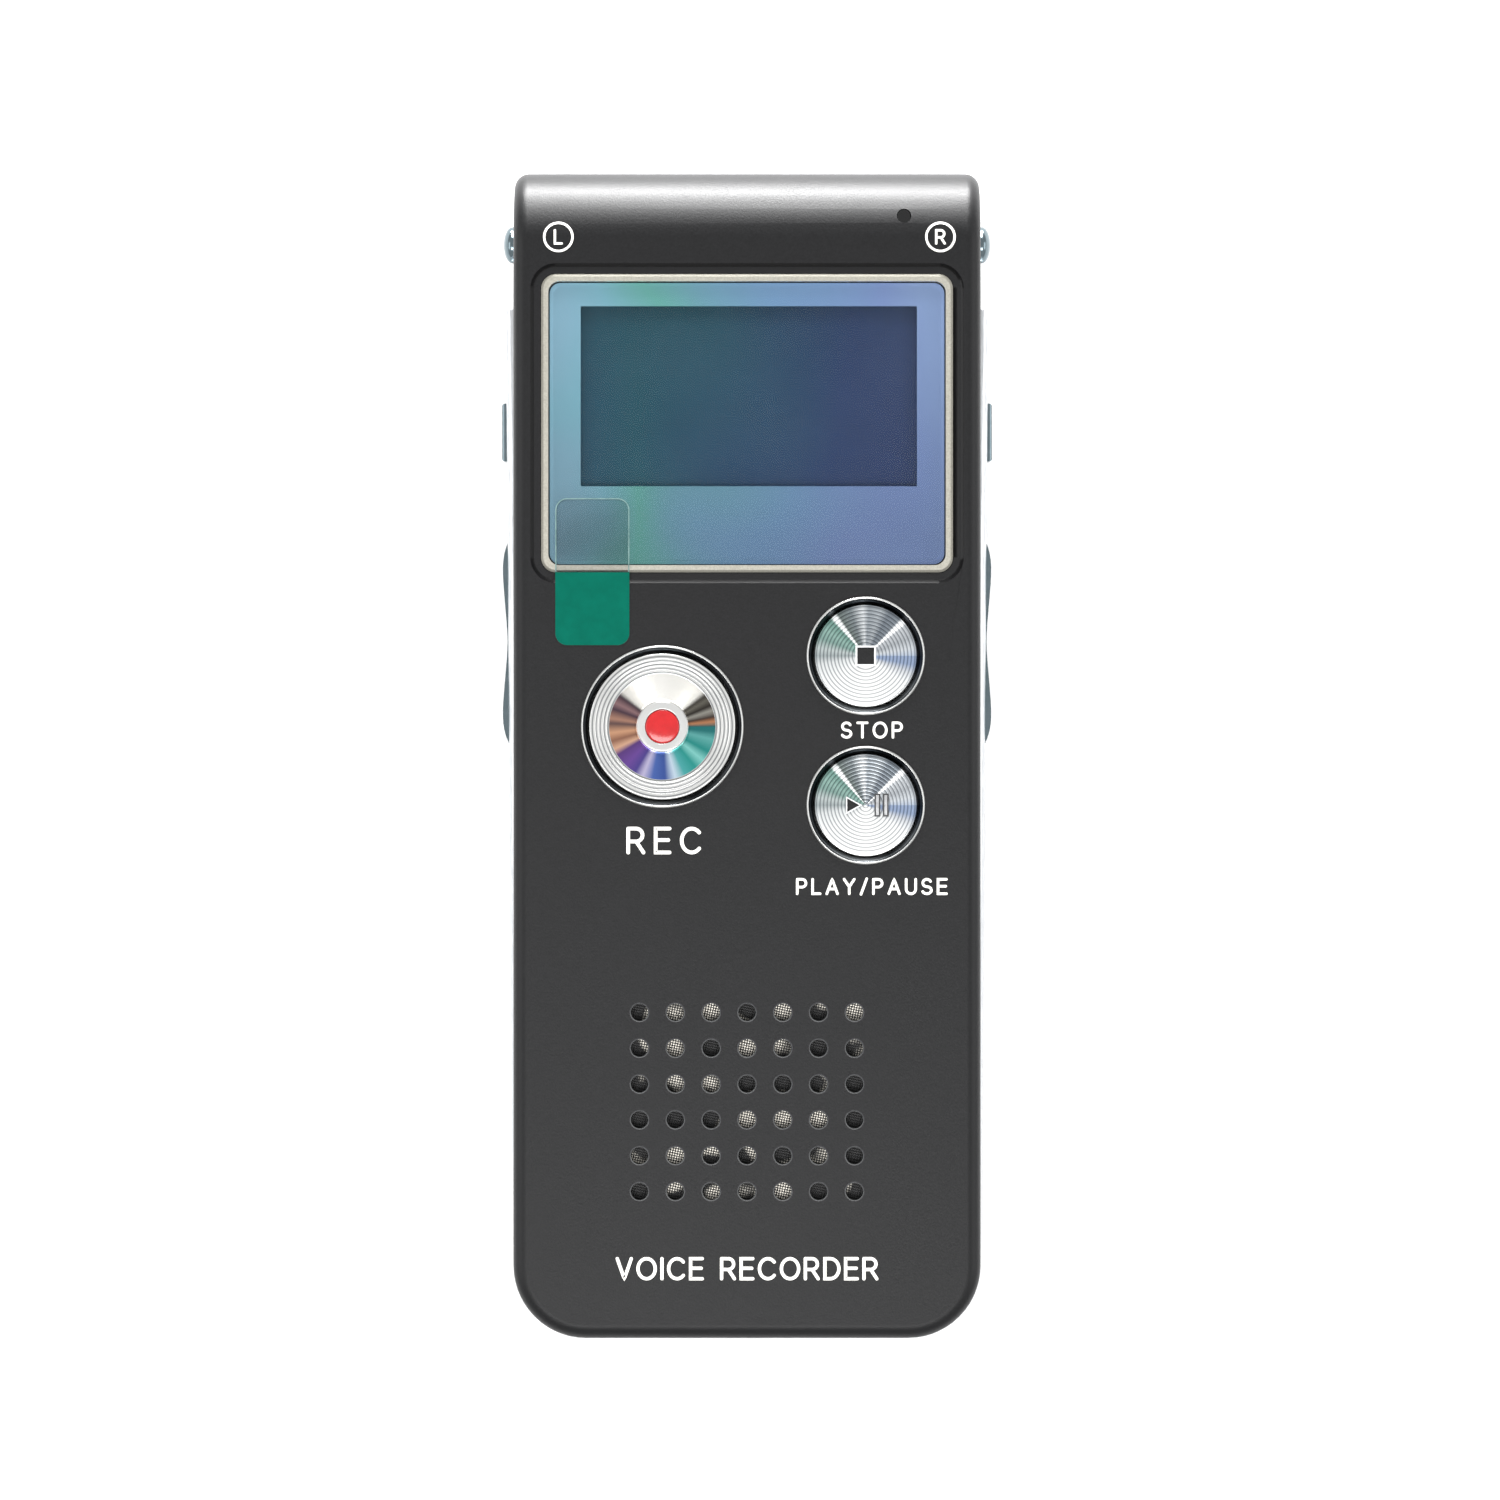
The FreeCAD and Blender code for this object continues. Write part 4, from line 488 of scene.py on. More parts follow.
def display_dark():
    """Unlit liquid-crystal panel: a dark polariser with a painted reflection, teal at the left and
    violet-blue at the right.
    """
    material, shader = surface("display polariser", Roughness=0.45, Specular_IOR_Level=0.1)
    # painted reflection, teal at the left and violet-blue at the right
    painted_reflection, _ = sideways_painted_reflection(material, 14, 0.4, [
        (0.05, "#24465A"), (0.3, "#214A57"), (0.5, "#234059"), (0.75, "#28385C"), (0.95, "#2D395C"),
    ])
    link(material, painted_reflection, shader, "Base Color")
    return material


def hazed_sheet(name, dark, light, size, detail, **values):
    """A nearly clear sheet with a faint haze between two colours, its clouds of the given size in mm."""
    material, shader = surface(name, **values)
    place = add(material, "ShaderNodeTexCoord").outputs["Object"]
    haze = add(material, "ShaderNodeTexNoise", {
        "Vector": place, "Scale": 1 / (size * MM), "Detail": detail,
    })
    colour = add(material, "ShaderNodeValToRGB", {"Fac": haze.outputs["Fac"]}, [(0.3, dark), (0.7, light)])
    link(material, colour.outputs["Color"], shader, "Base Color")
    return material


def window_acrylic():
    """Flat cast acrylic with a hard coat: so clear that only a trace of its surface shows."""
    return hazed_sheet(
        "hard-coated acrylic", "#10161A", "#2A353B", 6, 3.0,
        Roughness=0.08, Specular_IOR_Level=0.35, Alpha=0.1,
    )


def clear_film():
    """Polyethylene film: nearly clear, with a trace of milky haze."""
    return hazed_sheet(
        "polyethylene film", "#2A3337", "#3A4549", 9, 1.0,
        Roughness=0.4, Specular_IOR_Level=0.2, Alpha=0.07,
    )


def green_film():
    """Printed polyethylene film: deep green, faintly clouded."""
    return grained(
        "green printed film", "#005142", "#005848", 1.2, 0.001, (0.3, 0.42), Specular_IOR_Level=0.05,
    )


def film_edge():
    """Cut edge of the film, painted paler than its face as a highlight of the light it carries."""
    return grained("cut film edge", "#567370", "#7C9794", 0.6, 0.001, (0.2, 0.3))


def print_white():
    """Pad-printed warm white ink."""
    return grained("pad-printed ink", "#EDEAE2", "#F7F5EF", 0.15, 0.002, (0.45, 0.6))


def pale_bezel():
    """Bead-blasted champagne-coloured aluminium border, bright on its bevels."""
    return grained("champagne aluminium", "#949186", "#ADAA9F", 0.12, 0.002, (0.28, 0.4), 0.55)


def mark_edge_highlight():
    """Edge of the key marks, a painted highlight: pale chrome, part diffuse, paler than the mirror round
    it.
    """
    return grained("chrome with painted edge highlight", "#CDCFD0", "#E6E7E7", 0.3, 0.001, (0.25, 0.35), 0.35)


def rim_highlight_grey():
    """Grey a little lighter than black: a painted highlight on the rims of the loudspeaker holes, and the
    dull bars of the pause mark.
    """
    return grained("grey rim highlight", "#161718", "#2E2F31", 0.25, 0.002, (0.3, 0.45))


# ---- pieces ------------------------------------------------------------------------------------------
def surface_height(y):
    """Height of the front face at a place along the case: flat, then round the half-round nose."""
    over = np.clip(np.asarray(y) - NOSE_Y, 0, NOSE_RADIUS)
    return NOSE_RADIUS + np.sqrt(NOSE_RADIUS ** 2 - over ** 2)


def bow(cx, cy, rx, ry, start, end, steps=17):
    """Points along part of an ellipse, in degrees anticlockwise from the right."""
    angle = np.radians(np.linspace(start, end, steps))
    return list(zip(cx + rx * np.cos(angle), cy + ry * np.sin(angle)))


BOWL = [(0, 1)] + bow(0.33, 0.73, 0.27, 0.27, 90, -90) + [(0, 0.46)]
LETTERS = {
    "A": (0.74, [[(0, 0), (0.37, 1), (0.74, 0)], [(0.14, 0.33), (0.6, 0.33)]]),
    "C": (0.76, [bow(0.42, 0.5, 0.42, 0.5, 42, 318, 33)]),
    "D": (0.7, [[(0, 0), (0, 1)] + bow(0.26, 0.5, 0.44, 0.5, 90, -90, 25) + [(0, 0)]]),
    "E": (0.58, [[(0.58, 1), (0, 1), (0, 0), (0.58, 0)], [(0, 0.52), (0.53, 0.52)]]),
    "I": (0.0, [[(0, 0), (0, 1)]]),
    "L": (0.52, [[(0, 1), (0, 0), (0.52, 0)]]),
    "O": (0.86, [bow(0.43, 0.5, 0.43, 0.5, 0, 360, 41)]),
    "P": (0.6, [[(0, 0), (0, 1)], BOWL]),
    "R": (0.64, [[(0, 0), (0, 1)], BOWL, [(0.34, 0.46), (0.64, 0)]]),
    "S": (0.62, [bow(0.31, 0.745, 0.28, 0.255, 25, 270) + bow(0.31, 0.245, 0.31, 0.245, 90, -158)]),
    "T": (0.66, [[(0, 1), (0.66, 1)], [(0.33, 1), (0.33, 0)]]),
    "U": (0.66, [[(0, 1), (0, 0.33)] + bow(0.33, 0.33, 0.33, 0.33, 180, 360) + [(0.66, 1)]]),
    "V": (0.7, [[(0, 1), (0.35, 0), (0.7, 1)]]),
    "Y": (0.7, [[(0, 1), (0.35, 0.48), (0.7, 1)], [(0.35, 0.48), (0.35, 0)]]),
    "/": (0.4, [[(0, -0.04), (0.4, 1.04)]]),
    " ": (0.3, []),
}


def ink_stroke(line, half, order=0, level=None, longest=0.12):
    """Points of a flat band of ink along a line in mm: round ends, mitred bends, a little thickness.

    Offset at a bend = (n1 + n2) / (1 + n1.n2), shortened where the bend is sharp. An open band goes on at
    each end as half a circle, its width falling as the cosine while it runs on as the sine. A line that
    ends where it starts is joined up instead. Later strokes lie a hair higher than earlier ones.
    """
    line = np.asarray(line, float)
    joined = np.allclose(line[0], line[-1])
    reach = np.concatenate([[0], np.cumsum(np.linalg.norm(np.diff(line, axis=0), axis=1))])
    extra = np.linspace(0, reach[-1], int(reach[-1] / longest) + 2)
    spots = np.unique(np.round(np.concatenate([reach, extra]), 6))
    line = np.column_stack([np.interp(spots, reach, line[:, k]) for k in (0, 1)])
    step = np.diff(line, axis=0)
    step /= np.linalg.norm(step, axis=1)[:, None]
    normal = np.column_stack([-step[:, 1], step[:, 0]])
    first, last = (normal[-1:], normal[:1]) if joined else (normal[:1], normal[-1:])
    before, after = np.vstack([first, normal]), np.vstack([normal, last])
    offset = (before + after) / (1 + (before * after).sum(1))[:, None]
    offset *= np.minimum(1, MITRE / np.linalg.norm(offset, axis=1))[:, None]
    spine = line
    if not joined:
        turn = np.linspace(math.pi / 2, 0, 6)[:-1, None]
        start = line[0] - step[0] * half * np.sin(turn)
        end = line[-1] + step[-1] * half * np.sin(turn[::-1])
        spine = np.vstack([start, line, end])
        offset = np.vstack([offset[0] * np.cos(turn), offset, offset[-1] * np.cos(turn[::-1])])
    left, right = (spine + offset * half) * MM, (spine - offset * half) * MM
    top = INK * (1 + order / 6)  # later strokes a sixth higher each
    ring = []
    for edge, lift in ((left, 0), (left, top), (right, top), (right, 0)):
        ground = surface_height(edge[:, 1]) if level is None else np.full(len(edge), level)
        ring.append(np.column_stack([edge, ground + (lift + INK_GAP) * MM]))
    return np.stack(ring, axis=1)


def printed(name, words, centre, cap_height, width, stroke):
    """A printed word: each letter's strokes laid side by side, spaced to the given width in mm."""
    rise = cap_height - stroke
    natural = sum(LETTERS[c][0] for c in words) * rise
    gap = (width - stroke - natural) / max(len(words) - 1, 1)
    x = centre[0] / MM - (natural + gap * (len(words) - 1)) / 2
    y = centre[1] / MM - rise / 2
    verts, faces, count = [], [], 0
    for letter in words:
        wide, strokes = LETTERS[letter]
        for order, line in enumerate(strokes):
            band = ink_stroke(np.asarray(line) * rise + np.array([x, y]), stroke / 2, order)
            verts.append(band.reshape(-1, 3))
            faces.append(grid_faces(band.shape[0], 4, wrap_columns=True) + count)
            count += len(verts[-1])
        x += wide * rise + gap
    piece = keep_mesh(name, np.vstack(verts), np.vstack(faces), "case")
    return dress(piece, "ink")


def ink_ring(name, x, y, radius, stroke):
    """A printed circle: a flat ring with a little thickness, laid on the face."""
    angle = np.linspace(0, 2 * math.pi, 96, endpoint=False)
    edges = []
    for r, lift in ((radius, 0), (radius, INK), (radius - stroke, INK), (radius - stroke, 0)):
        px, py = x + r * MM * np.cos(angle), y + r * MM * np.sin(angle)
        edges.append(np.column_stack([px, py, surface_height(py) + (lift + INK_GAP) * MM]))
    piece = keep_mesh(name, np.array(edges), grid_faces(4, len(angle), True, True), "case")
    return dress(piece, "ink")


def button_ring(name, node):
    """Turned ring: a thin bright lip outside, then a slope down to the button's edge."""
    low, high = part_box(node)
    outer = (high.x - low.x) / 2 / MM
    inner = outer - RING_WIDTH
    bottom, top = low.z / MM, high.z / MM
    profile = rounded([
        (inner, bottom), (outer, bottom), (outer, top - 0.12), (outer - 0.1, top), (outer - 0.2, top),
        (outer - 0.26, top - 0.12), (inner + 0.04, top - 0.36), (inner, top - 0.5), (inner, bottom),
    ], 0.06)
    centre = ((low.x + high.x) / 2, (low.y + high.y) / 2, 0)
    piece = turned(name, "case", profile[:-1], centre, closed=True)
    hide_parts(node)
    return piece


def button_foot(node):
    """Profile of a button's hidden stem and flange, then its radius and the height of its top, in mm."""
    low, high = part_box(node)
    bottom, top, flange = low.z / MM, high.z / MM, (high.x - low.x) / 2 / MM
    radius = flange - FLANGE_REACH
    flange_top = COVER_INNER - FLANGE_GAP
    flange_low = flange_top - FLANGE_THICKNESS
    foot = [
        (0, bottom), (STEM_RADIUS, bottom), (STEM_RADIUS, flange_low), (flange, flange_low),
        (flange, flange_top), (radius, flange_top),
    ]
    return foot, radius, top


def rec_cap():
    """Button with a turned rim, four cut rings, a polished dish and a raised collar round the red dot."""
    foot, radius, top = button_foot("rec_button")
    rim_in, floor = radius - 0.42, top - 0.8
    cut_rings, cut_depth = 4, 0.02
    share = np.linspace(0, 1, 73)
    groove_r = rim_in + (DISH_RADIUS + 0.12 - rim_in) * share
    groove_z = top - cut_depth - cut_depth * (1 - np.cos(share * 2 * math.pi * cut_rings))
    edge = rounded(foot + [(radius, top), (rim_in, top)], 0.14)
    inside = rounded([
        (DISH_RADIUS + 0.1, top), (DISH_RADIUS, top), (COLLAR_RADIUS + 0.12, floor),
        (COLLAR_RADIUS, floor + 0.04), (COLLAR_RADIUS, floor + 0.38), (DOT_RADIUS, floor + 0.4),
        (DOT_RADIUS, floor - 0.28), (0, floor - 0.28),
    ], 0.07)
    profile = np.vstack([edge, np.column_stack([groove_r, groove_z]), inside])
    piece = turned("rec_cap", "rec_key", profile, (REC.x, REC.y, 0), turns=192)
    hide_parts("rec_button")
    return piece


def rec_dot():
    """Red dot, domed like a shallow lens: it falls off as the radius to the power 2.5."""
    low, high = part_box("rec_red_dot")
    radius = (high.x - low.x) / 2 / MM
    bottom, top = low.z / MM, high.z / MM
    dome_share, dome_drop, side_drop = 0.95, 0.12, 0.17
    share = np.linspace(1, 0, 14)
    dome = np.column_stack([radius * dome_share * share, top - dome_drop * share ** 2.5])
    profile = np.vstack([[(0, bottom), (radius, bottom), (radius, top - side_drop)], dome])
    centre = ((low.x + high.x) / 2, (low.y + high.y) / 2, 0)
    piece = turned("rec_dot", "rec_key", profile, centre, turns=64)
    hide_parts("rec_red_dot")
    return piece


def key_cap(name, node, body):
    """Flat-topped key: a rounded edge, then a very shallow dish, deepest in the middle: 1 - r ^ 1.2."""
    foot, radius, top = button_foot(node)
    rim, drop, dish_depth = 0.25, 0.02, 0.16
    edge = rounded(foot + [(radius, top - drop), (radius - rim, top - drop / 2)], 0.16)
    share = np.linspace(1, 0, 40)
    dish = np.column_stack([(radius - rim) * share, top - drop - dish_depth * (1 - share ** 1.2)])
    centre = middle(node)
    piece = turned(name, body, np.vstack([edge, dish]), (centre.x, centre.y, 0), turns=160)
    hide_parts(node)
    return piece


def outline_mark(name, body, corners, line, low, high):
    """A raised outline round a closed line of corners in mm, and a floor inside it, as two pieces.

    The offset at a corner = (n1 + n2) / (1 + n1.n2), times the line's width.
    """
    corners = np.asarray(corners, float)
    middle_point = corners.mean(0)
    before, after = np.roll(corners, 1, axis=0), np.roll(corners, -1, axis=0)
    edge_in = corners - before
    edge_out = after - corners
    edge_in /= np.linalg.norm(edge_in, axis=1)[:, None]
    edge_out /= np.linalg.norm(edge_out, axis=1)[:, None]
    normal_in = np.column_stack([edge_in[:, 1], -edge_in[:, 0]])
    normal_out = np.column_stack([edge_out[:, 1], -edge_out[:, 0]])
    mitre = normal_in + normal_out
    mitre /= (mitre * normal_in).sum(1)[:, None]
    rings = []
    foot, crest, floor_share = 0.5, 0.35, 0.62
    for offset, height in ((foot, low), (crest, high), (-crest, high), (-foot, low)):
        rings.append(np.column_stack([corners + mitre * line * offset, np.full(len(corners), height)]))
    verts = np.array(rings) * MM
    border = keep_mesh(name + "_border", verts, grid_faces(4, len(corners), True, True), body)
    floor_height = low + (high - low) * floor_share
    floor_points = np.array([
        np.column_stack([corners, np.full(len(corners), floor_height)]),
        np.column_stack([np.tile(middle_point, (len(corners), 1)), np.full(len(corners), floor_height)]),
    ]) * MM
    floor = keep_mesh(name + "_floor", floor_points, grid_faces(2, len(corners), wrap_columns=True), body)
    return border, floor


def hole_lips():
    """Lips round the loudspeaker holes, where the painted rim highlight goes: one low ring (r, h) turned,
    then copied over the hole grid.
    """
    sides = 24
    section = np.array([(0.72, -0.1), (0.73, 0.012), (0.77, 0.016), (0.83, 0.002)])
    angle = np.linspace(0, 2 * math.pi, sides + 1)[:-1]
    radius, turn = np.meshgrid(section[:, 0], angle, indexing="ij")
    height = np.repeat(section[:, 1:2], sides, axis=1)
    ring = np.stack([radius * np.cos(turn), radius * np.sin(turn), height], axis=-1).reshape(-1, 3)
    x, y = np.meshgrid(*[
        (np.arange(count) - (count - 1) / 2) * HOLE_PITCH for count in (HOLE_COLUMNS, HOLE_ROWS)
    ])
    spots = np.stack([x.ravel() + SPEAKER_X, y.ravel() + SPEAKER_Y, np.full(x.size, FACE / MM)], axis=-1)
    verts = (ring[None] + spots[:, None]) * MM
    first = np.arange(len(spots))[:, None, None] * len(ring)
    faces = grid_faces(len(section), sides, wrap_columns=True)[None] + first
    return keep_mesh("hole_lips", verts, faces.reshape(-1, 4), "case")


def mic_dome(name, node):
    """Microphone cap: a plug, a short collar and a quarter-ellipse dome, turned about the case's width."""
    plug, plug_share, straight = 1.2, 0.7, 0.25
    low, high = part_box(node)
    side = 1 if high.x > 0 else -1
    radius = (high.z - low.z) / 2 / MM
    inner, outer = min(abs(low.x), abs(high.x)) / MM, max(abs(low.x), abs(high.x)) / MM
    collar = inner + plug
    turn = np.linspace(0, math.pi / 2, 16)
    dome = np.column_stack([
        radius * np.cos(turn), collar + straight + (outer - collar - straight) * np.sin(turn),
    ])
    stem = [(0, inner), (radius * plug_share, inner), (radius * plug_share, collar), (radius, collar)]
    profile = np.vstack([stem, dome])
    profile[:, 1] *= side
    centre = (0, (low.y + high.y) / 2, (low.z + high.z) / 2)
    piece = turned(name, "case", profile, centre, axis="x", turns=64)
    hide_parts(node)
    return piece


# ---- finishes --------------------------------------------------------------------------------------
FINISHES = {
    "black": black_anodised_aluminium(),
    "silver": satin_aluminium(),
    "chrome": chrome_plate(),
    "plated ABS": plated_plastic(),
    "film edge": film_edge(),
    "steel": plain_steel(),
    "black steel": black_steel(),
    "black ABS": moulded_black(),
    "white ABS": moulded_white(),
    "foam": black_foam(),
    "board": board_green(),
    "foil": foil_pouch(),
    "amber": amber_polyimide(),
    "ceramic": fired_ceramic(),
    "red": red_enamel(),
    "rubber": soft_rubber(),
    "acrylic": clear_acrylic(),
    "smoked acrylic": clear_acrylic("smoked acrylic", "#060607"),
    "cut edge": mark_edge_highlight(),
    "window acrylic": window_acrylic(),
    "gauze": speaker_weave(),
    "mirror": window_mirror(),
    "display": display_dark(),
    "film": clear_film(),
    "green film": green_film(),
    "bezel": pale_bezel(),
    "dull edge": rim_highlight_grey(),
    "ink": print_white(),
}

NODE_FINISH = {
    "black": ["front_cover", "rear_cover"],
    "silver": ["mid_frame"],
    "chrome": [
        "rec_ring", "stop_ring", "play_ring", "rec_button", "stop_button", "play_button",
    ],
    "plated ABS": [
        "left_rocker", "right_rocker", "left_button", "right_button", "mic_cap_left", "mic_cap_right",
    ],
    "black steel": ["case_screws"],
    "steel": [
        "front_switches", "side_switches", "rocker_pins", "mic_capsules", "board_screws",
        "crystal", "speaker_basket", "speaker_magnet", "usb_shell",
    ],
    "black ABS": [
        "key_carrier", "display_connector", "main_chip", "memory_chip", "amplifier_chip",
        "battery_lead_black", "earphone_jack", "microphone_jack", "usb_tongue",
    ],
    "white ABS": [
        "rec_plunger", "stop_plunger", "play_plunger", "display_frame", "status_lamp", "battery_connector",
        "speaker_cone",
    ],
    "foam": ["speaker_gasket", "battery_pad"],
    "board": ["main_board"],
    "foil": ["battery"],
    "amber": ["display_flex"],
    "ceramic": ["capacitors"],
    "red": ["rec_red_dot", "battery_lead_red"],
    "rubber": ["mic_boots"],
    "window acrylic": ["window_lens"],
    "smoked acrylic": ["light_pipe"],
    "acrylic": ["display_backlight"],
    "gauze": ["speaker_mesh"],
    "display": ["display_glass"],
    "film": ["protective_film", "pull_tab_clear"],
    "green film": ["pull_tab_green"],
    "bezel": ["window_bezel"],
}


def finish_nodes():
    """Every CAD node gets its finish."""
    for finish, names in NODE_FINISH.items():
        for name in names:
            mesh = frame["nodes"][name].data
            mesh.materials.clear()
            mesh.materials.append(FINISHES[finish])


def dress(piece, finish):
    """Gives a new piece its finish."""
    piece.data.materials.clear()
    piece.data.materials.append(FINISHES[finish] if isinstance(finish, str) else finish)
    return piece


# ---- building --------------------------------------------------------------------------------------
def build_shells(rows):
    """Smooth copies of CAD nodes, each row a node, its finish and its slot."""
    for node, finish, slot in rows:
        dress(merged_copy(node, node + "_shell"), finish)


def build_case():
    """Covers, frame and window border, and the lips of the loudspeaker holes."""
    build_shells((
        ("front_cover", "black", "black_aluminium"),
        ("rear_cover", "black", "black_aluminium"),
        ("mid_frame", "silver", "silver_aluminium"),
        ("window_bezel", "bezel", "bezel_metal"),
    ))
    # the lips carry a painted highlight, grey a little lighter than the black face
    dress(hole_lips(), "dull edge")


# painted reflections and glints round the turned faces, by share of a turn anticlockwise from the right
KEY_PAINTED_REFLECTIONS = [
    (0.0, "#9DA8B8"), (0.025, "#B4B8BC"), (0.06, "#94989C"), (0.105, "#A9ACAF"), (0.113, "#FFFFFF"),
    (0.122, "#FFFFFF"), (0.13, "#6C737A"), (0.17, "#5F666D"), (0.2, "#8B9094"), (0.24, "#7A8085"),
    (0.26, "#B3B6B8"), (0.3, "#666D70"), (0.345, "#59625F"), (0.355, "#F4F6F5"), (0.363, "#F4F6F5"),
    (0.372, "#5C7F75"), (0.41, "#7A988F"), (0.44, "#6F8A83"), (0.475, "#A5ADAC"), (0.5, "#8E9697"),
    (0.53, "#C3C6C6"), (0.6, "#DCDDDC"), (0.75, "#F2F2F0"), (0.9, "#DFE0DF"), (0.94, "#B9BCC0"),
    (0.97, "#7F8EA8"),
]
DISH_PAINTED_REFLECTIONS = [
    (0.0, "#1F5A5C"), (0.015, "#B07A58"), (0.03, "#3A2F2B"), (0.05, "#8F8C84"), (0.065, "#2A2623"),
    (0.085, "#5F5C54"), (0.1, "#38342F"), (0.115, "#D3D1CA"), (0.25, "#DFDDD8"), (0.385, "#D0CDC6"),
    (0.4, "#3B2F38"), (0.425, "#8A6C6E"), (0.445, "#4A3944"), (0.475, "#A87E6C"), (0.49, "#5E4A4A"),
    (0.52, "#C99878"), (0.545, "#8C6250"), (0.57, "#D0A488"), (0.59, "#5B3F78"), (0.63, "#6A4A92"),
    (0.665, "#4F4488"), (0.69, "#B9B2CF"), (0.72, "#4D66A8"), (0.76, "#3F5596"), (0.79, "#BFD0DE"),
    (0.82, "#4FA3A2"), (0.86, "#2F9088"), (0.89, "#7FC4BC"), (0.92, "#27857E"), (0.96, "#5FA5A0"),
    (0.985, "#2A6E6E"),
]
RING_PAINTED_REFLECTIONS = [
    (0.0, "#33363A"), (0.08, "#4A4C50"), (0.2, "#25272A"), (0.35, "#5B5F62"), (0.45, "#303336"),
    (0.6, "#3E4144"), (0.75, "#8E9194"), (0.82, "#3A3D40"), (0.9, "#6E7174"), (1.0, "#33363A"),
]


def build_buttons():
    """Three turned rings, the REC button with its red dot, and the STOP and PLAY keys."""
    for node in ("rec_ring", "stop_ring", "play_ring"):
        low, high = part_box(node)
        lip = (high.x - low.x) / 2 / MM - RING_LIP
        slope = ring_turned_metal("chrome ring " + node.split("_")[0], 0.3, 0.001, RING_PAINTED_REFLECTIONS, (0, lip))
        dress(button_ring(node + "_turned", node), slope)
    key_face = ring_turned_metal(
        "turned chrome key", 0.3, 0.008, KEY_PAINTED_REFLECTIONS, metallic=0.58, valley_shade="#B4B6B8",
    )
    rec_face = ring_turned_metal(
        "turned chrome dish", 0.33, 0.003, DISH_PAINTED_REFLECTIONS, (2.16, 4.45), metallic=0.9, valley_shade="#A2A4A6",
    )
    dress(rec_cap(), rec_face)
    dress(rec_dot(), "red")
    dress(key_cap("stop_cap", "stop_button", "stop_key"), key_face)
    dress(key_cap("play_cap", "play_button", "play_key"), key_face)


def build_marks():
    """Square, triangle and two bars on the keys, in mm: half sizes, places from the key's middle, lines."""
    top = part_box("stop_button")[1].z / MM
    x, y = STOP.x / MM, STOP.y / MM
    half = 0.78
    square = [(x - half, y - half), (x + half, y - half), (x + half, y + half), (x - half, y + half)]
    marks = [("stop_mark", "stop_key", square, 0.2, "cut edge", "black")]
    x, y = PLAY.x / MM, PLAY.y / MM
    back, tip, half = x - 1.6, x - 0.42, 0.66
    triangle = [(back, y - half), (tip, y), (back, y + half)]
    marks.append(("play_mark", "play_key", triangle, 0.13, "cut edge", "black"))
    bar_width, half = 0.36, 0.9
    for count, left in enumerate((0.8, 1.5)):
        left, right = x + left, x + left + bar_width
        bar = [(left, y - half), (right, y - half), (right, y + half), (left, y + half)]
        marks.append((f"pause_mark_{count}", "play_key", bar, 0.15, "dull edge", "steel"))
    for name, body, corners, line, border_finish, floor_finish in marks:
        border, floor = outline_mark(name, body, corners, line, top - MARK_DEPTH, top)
        dress(border, border_finish)
        dress(floor, floor_finish)


def build_prints():
    """Printed words and ringed letters, in mm."""
    for name, words, x, y, cap_height, width, stroke in (
        ("rec_word", "REC", -6.95, -7.25, 2.3, 6.3, 0.3),
        ("stop_word", "STOP", 10.45, 2.0, 1.42, 5.2, 0.21),
        ("play_word", "PLAY/PAUSE", 10.45, -11.1, 1.42, 12.7, 0.21),
        ("case_word", "VOICE RECORDER", 0, -43.1, 1.95, 22.0, 0.27),
    ):
        printed(name, words, (x * MM, y * MM), cap_height, width, stroke)
    spread, shift, along, radius, stroke = 16.0, 0.2, 43.3, 1.28, 0.19
    for name, letter, side in (("left_mark", "L", -1), ("right_mark", "R", 1)):
        x, y = (side * spread + shift) * MM, along * MM
        ink_ring(name + "_ring", x, y, radius, stroke)
        printed(name + "_letter", letter, (x, y), 1.3, 1.0, stroke)


def build_window():
    """The mirror film under the lens: a flat rounded frame with a clear opening over the display."""
    width, length = (LENS_HIGH.x - LENS_LOW.x) / MM, (LENS_HIGH.y - LENS_LOW.y) / MM
    centre = (LENS_LOW + LENS_HIGH) / 2
    outline = rounded_rectangle(width - MASK_INSET, length - MASK_INSET, 0.9)
    opening = rounded_rectangle(DISPLAY_SIZE[0], DISPLAY_SIZE[1], 0.05)
    outer = outline + np.array([centre.x / MM, centre.y / MM])
    inner = opening + np.array(DISPLAY_CENTRE)
    level = LENS_LOW.z / MM + MASK_LIFT
    rings = [np.column_stack([ring, np.full(len(ring), level + lift)]) for ring, lift in (
        (outer, 0), (inner, 0), (inner, -MASK_THICKNESS), (outer, -MASK_THICKNESS),
    )]
    faces = grid_faces(4, len(outline), True, True)
    dress(keep_mesh("mirror_mask", np.array(rings) * MM, faces, "case"), "mirror")


def tab_edge(name, node, side):
    """Cut edge, painted pale as a highlight, round three sides of one half of the pull tab, open towards
    the other half.

    The line runs up one long side, round two quarter circles at the free end, and back; side is 1 where
    that end is the far one and -1 where it is the near one.
    """
    low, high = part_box(node)
    left, right = low.x / MM + TAB_LINE, high.x / MM - TAB_LINE
    start, end = (low.y / MM, high.y / MM - TAB_LINE) if side > 0 else (high.y / MM, low.y / MM + TAB_LINE)
    bend = end - side * TAB_CORNER
    path = [(right, start)] + bow(right - TAB_CORNER, bend, TAB_CORNER, side * TAB_CORNER, 0, 90, 9)
    path += bow(left + TAB_CORNER, bend, TAB_CORNER, side * TAB_CORNER, 90, 180, 9) + [(left, start)]
    band = ink_stroke(path, TAB_LINE, level=high.z - INK * 1.2 * MM)
    piece = keep_mesh(name, band, grid_faces(band.shape[0], 4, wrap_columns=True), "case")
    dress(piece, "film edge")


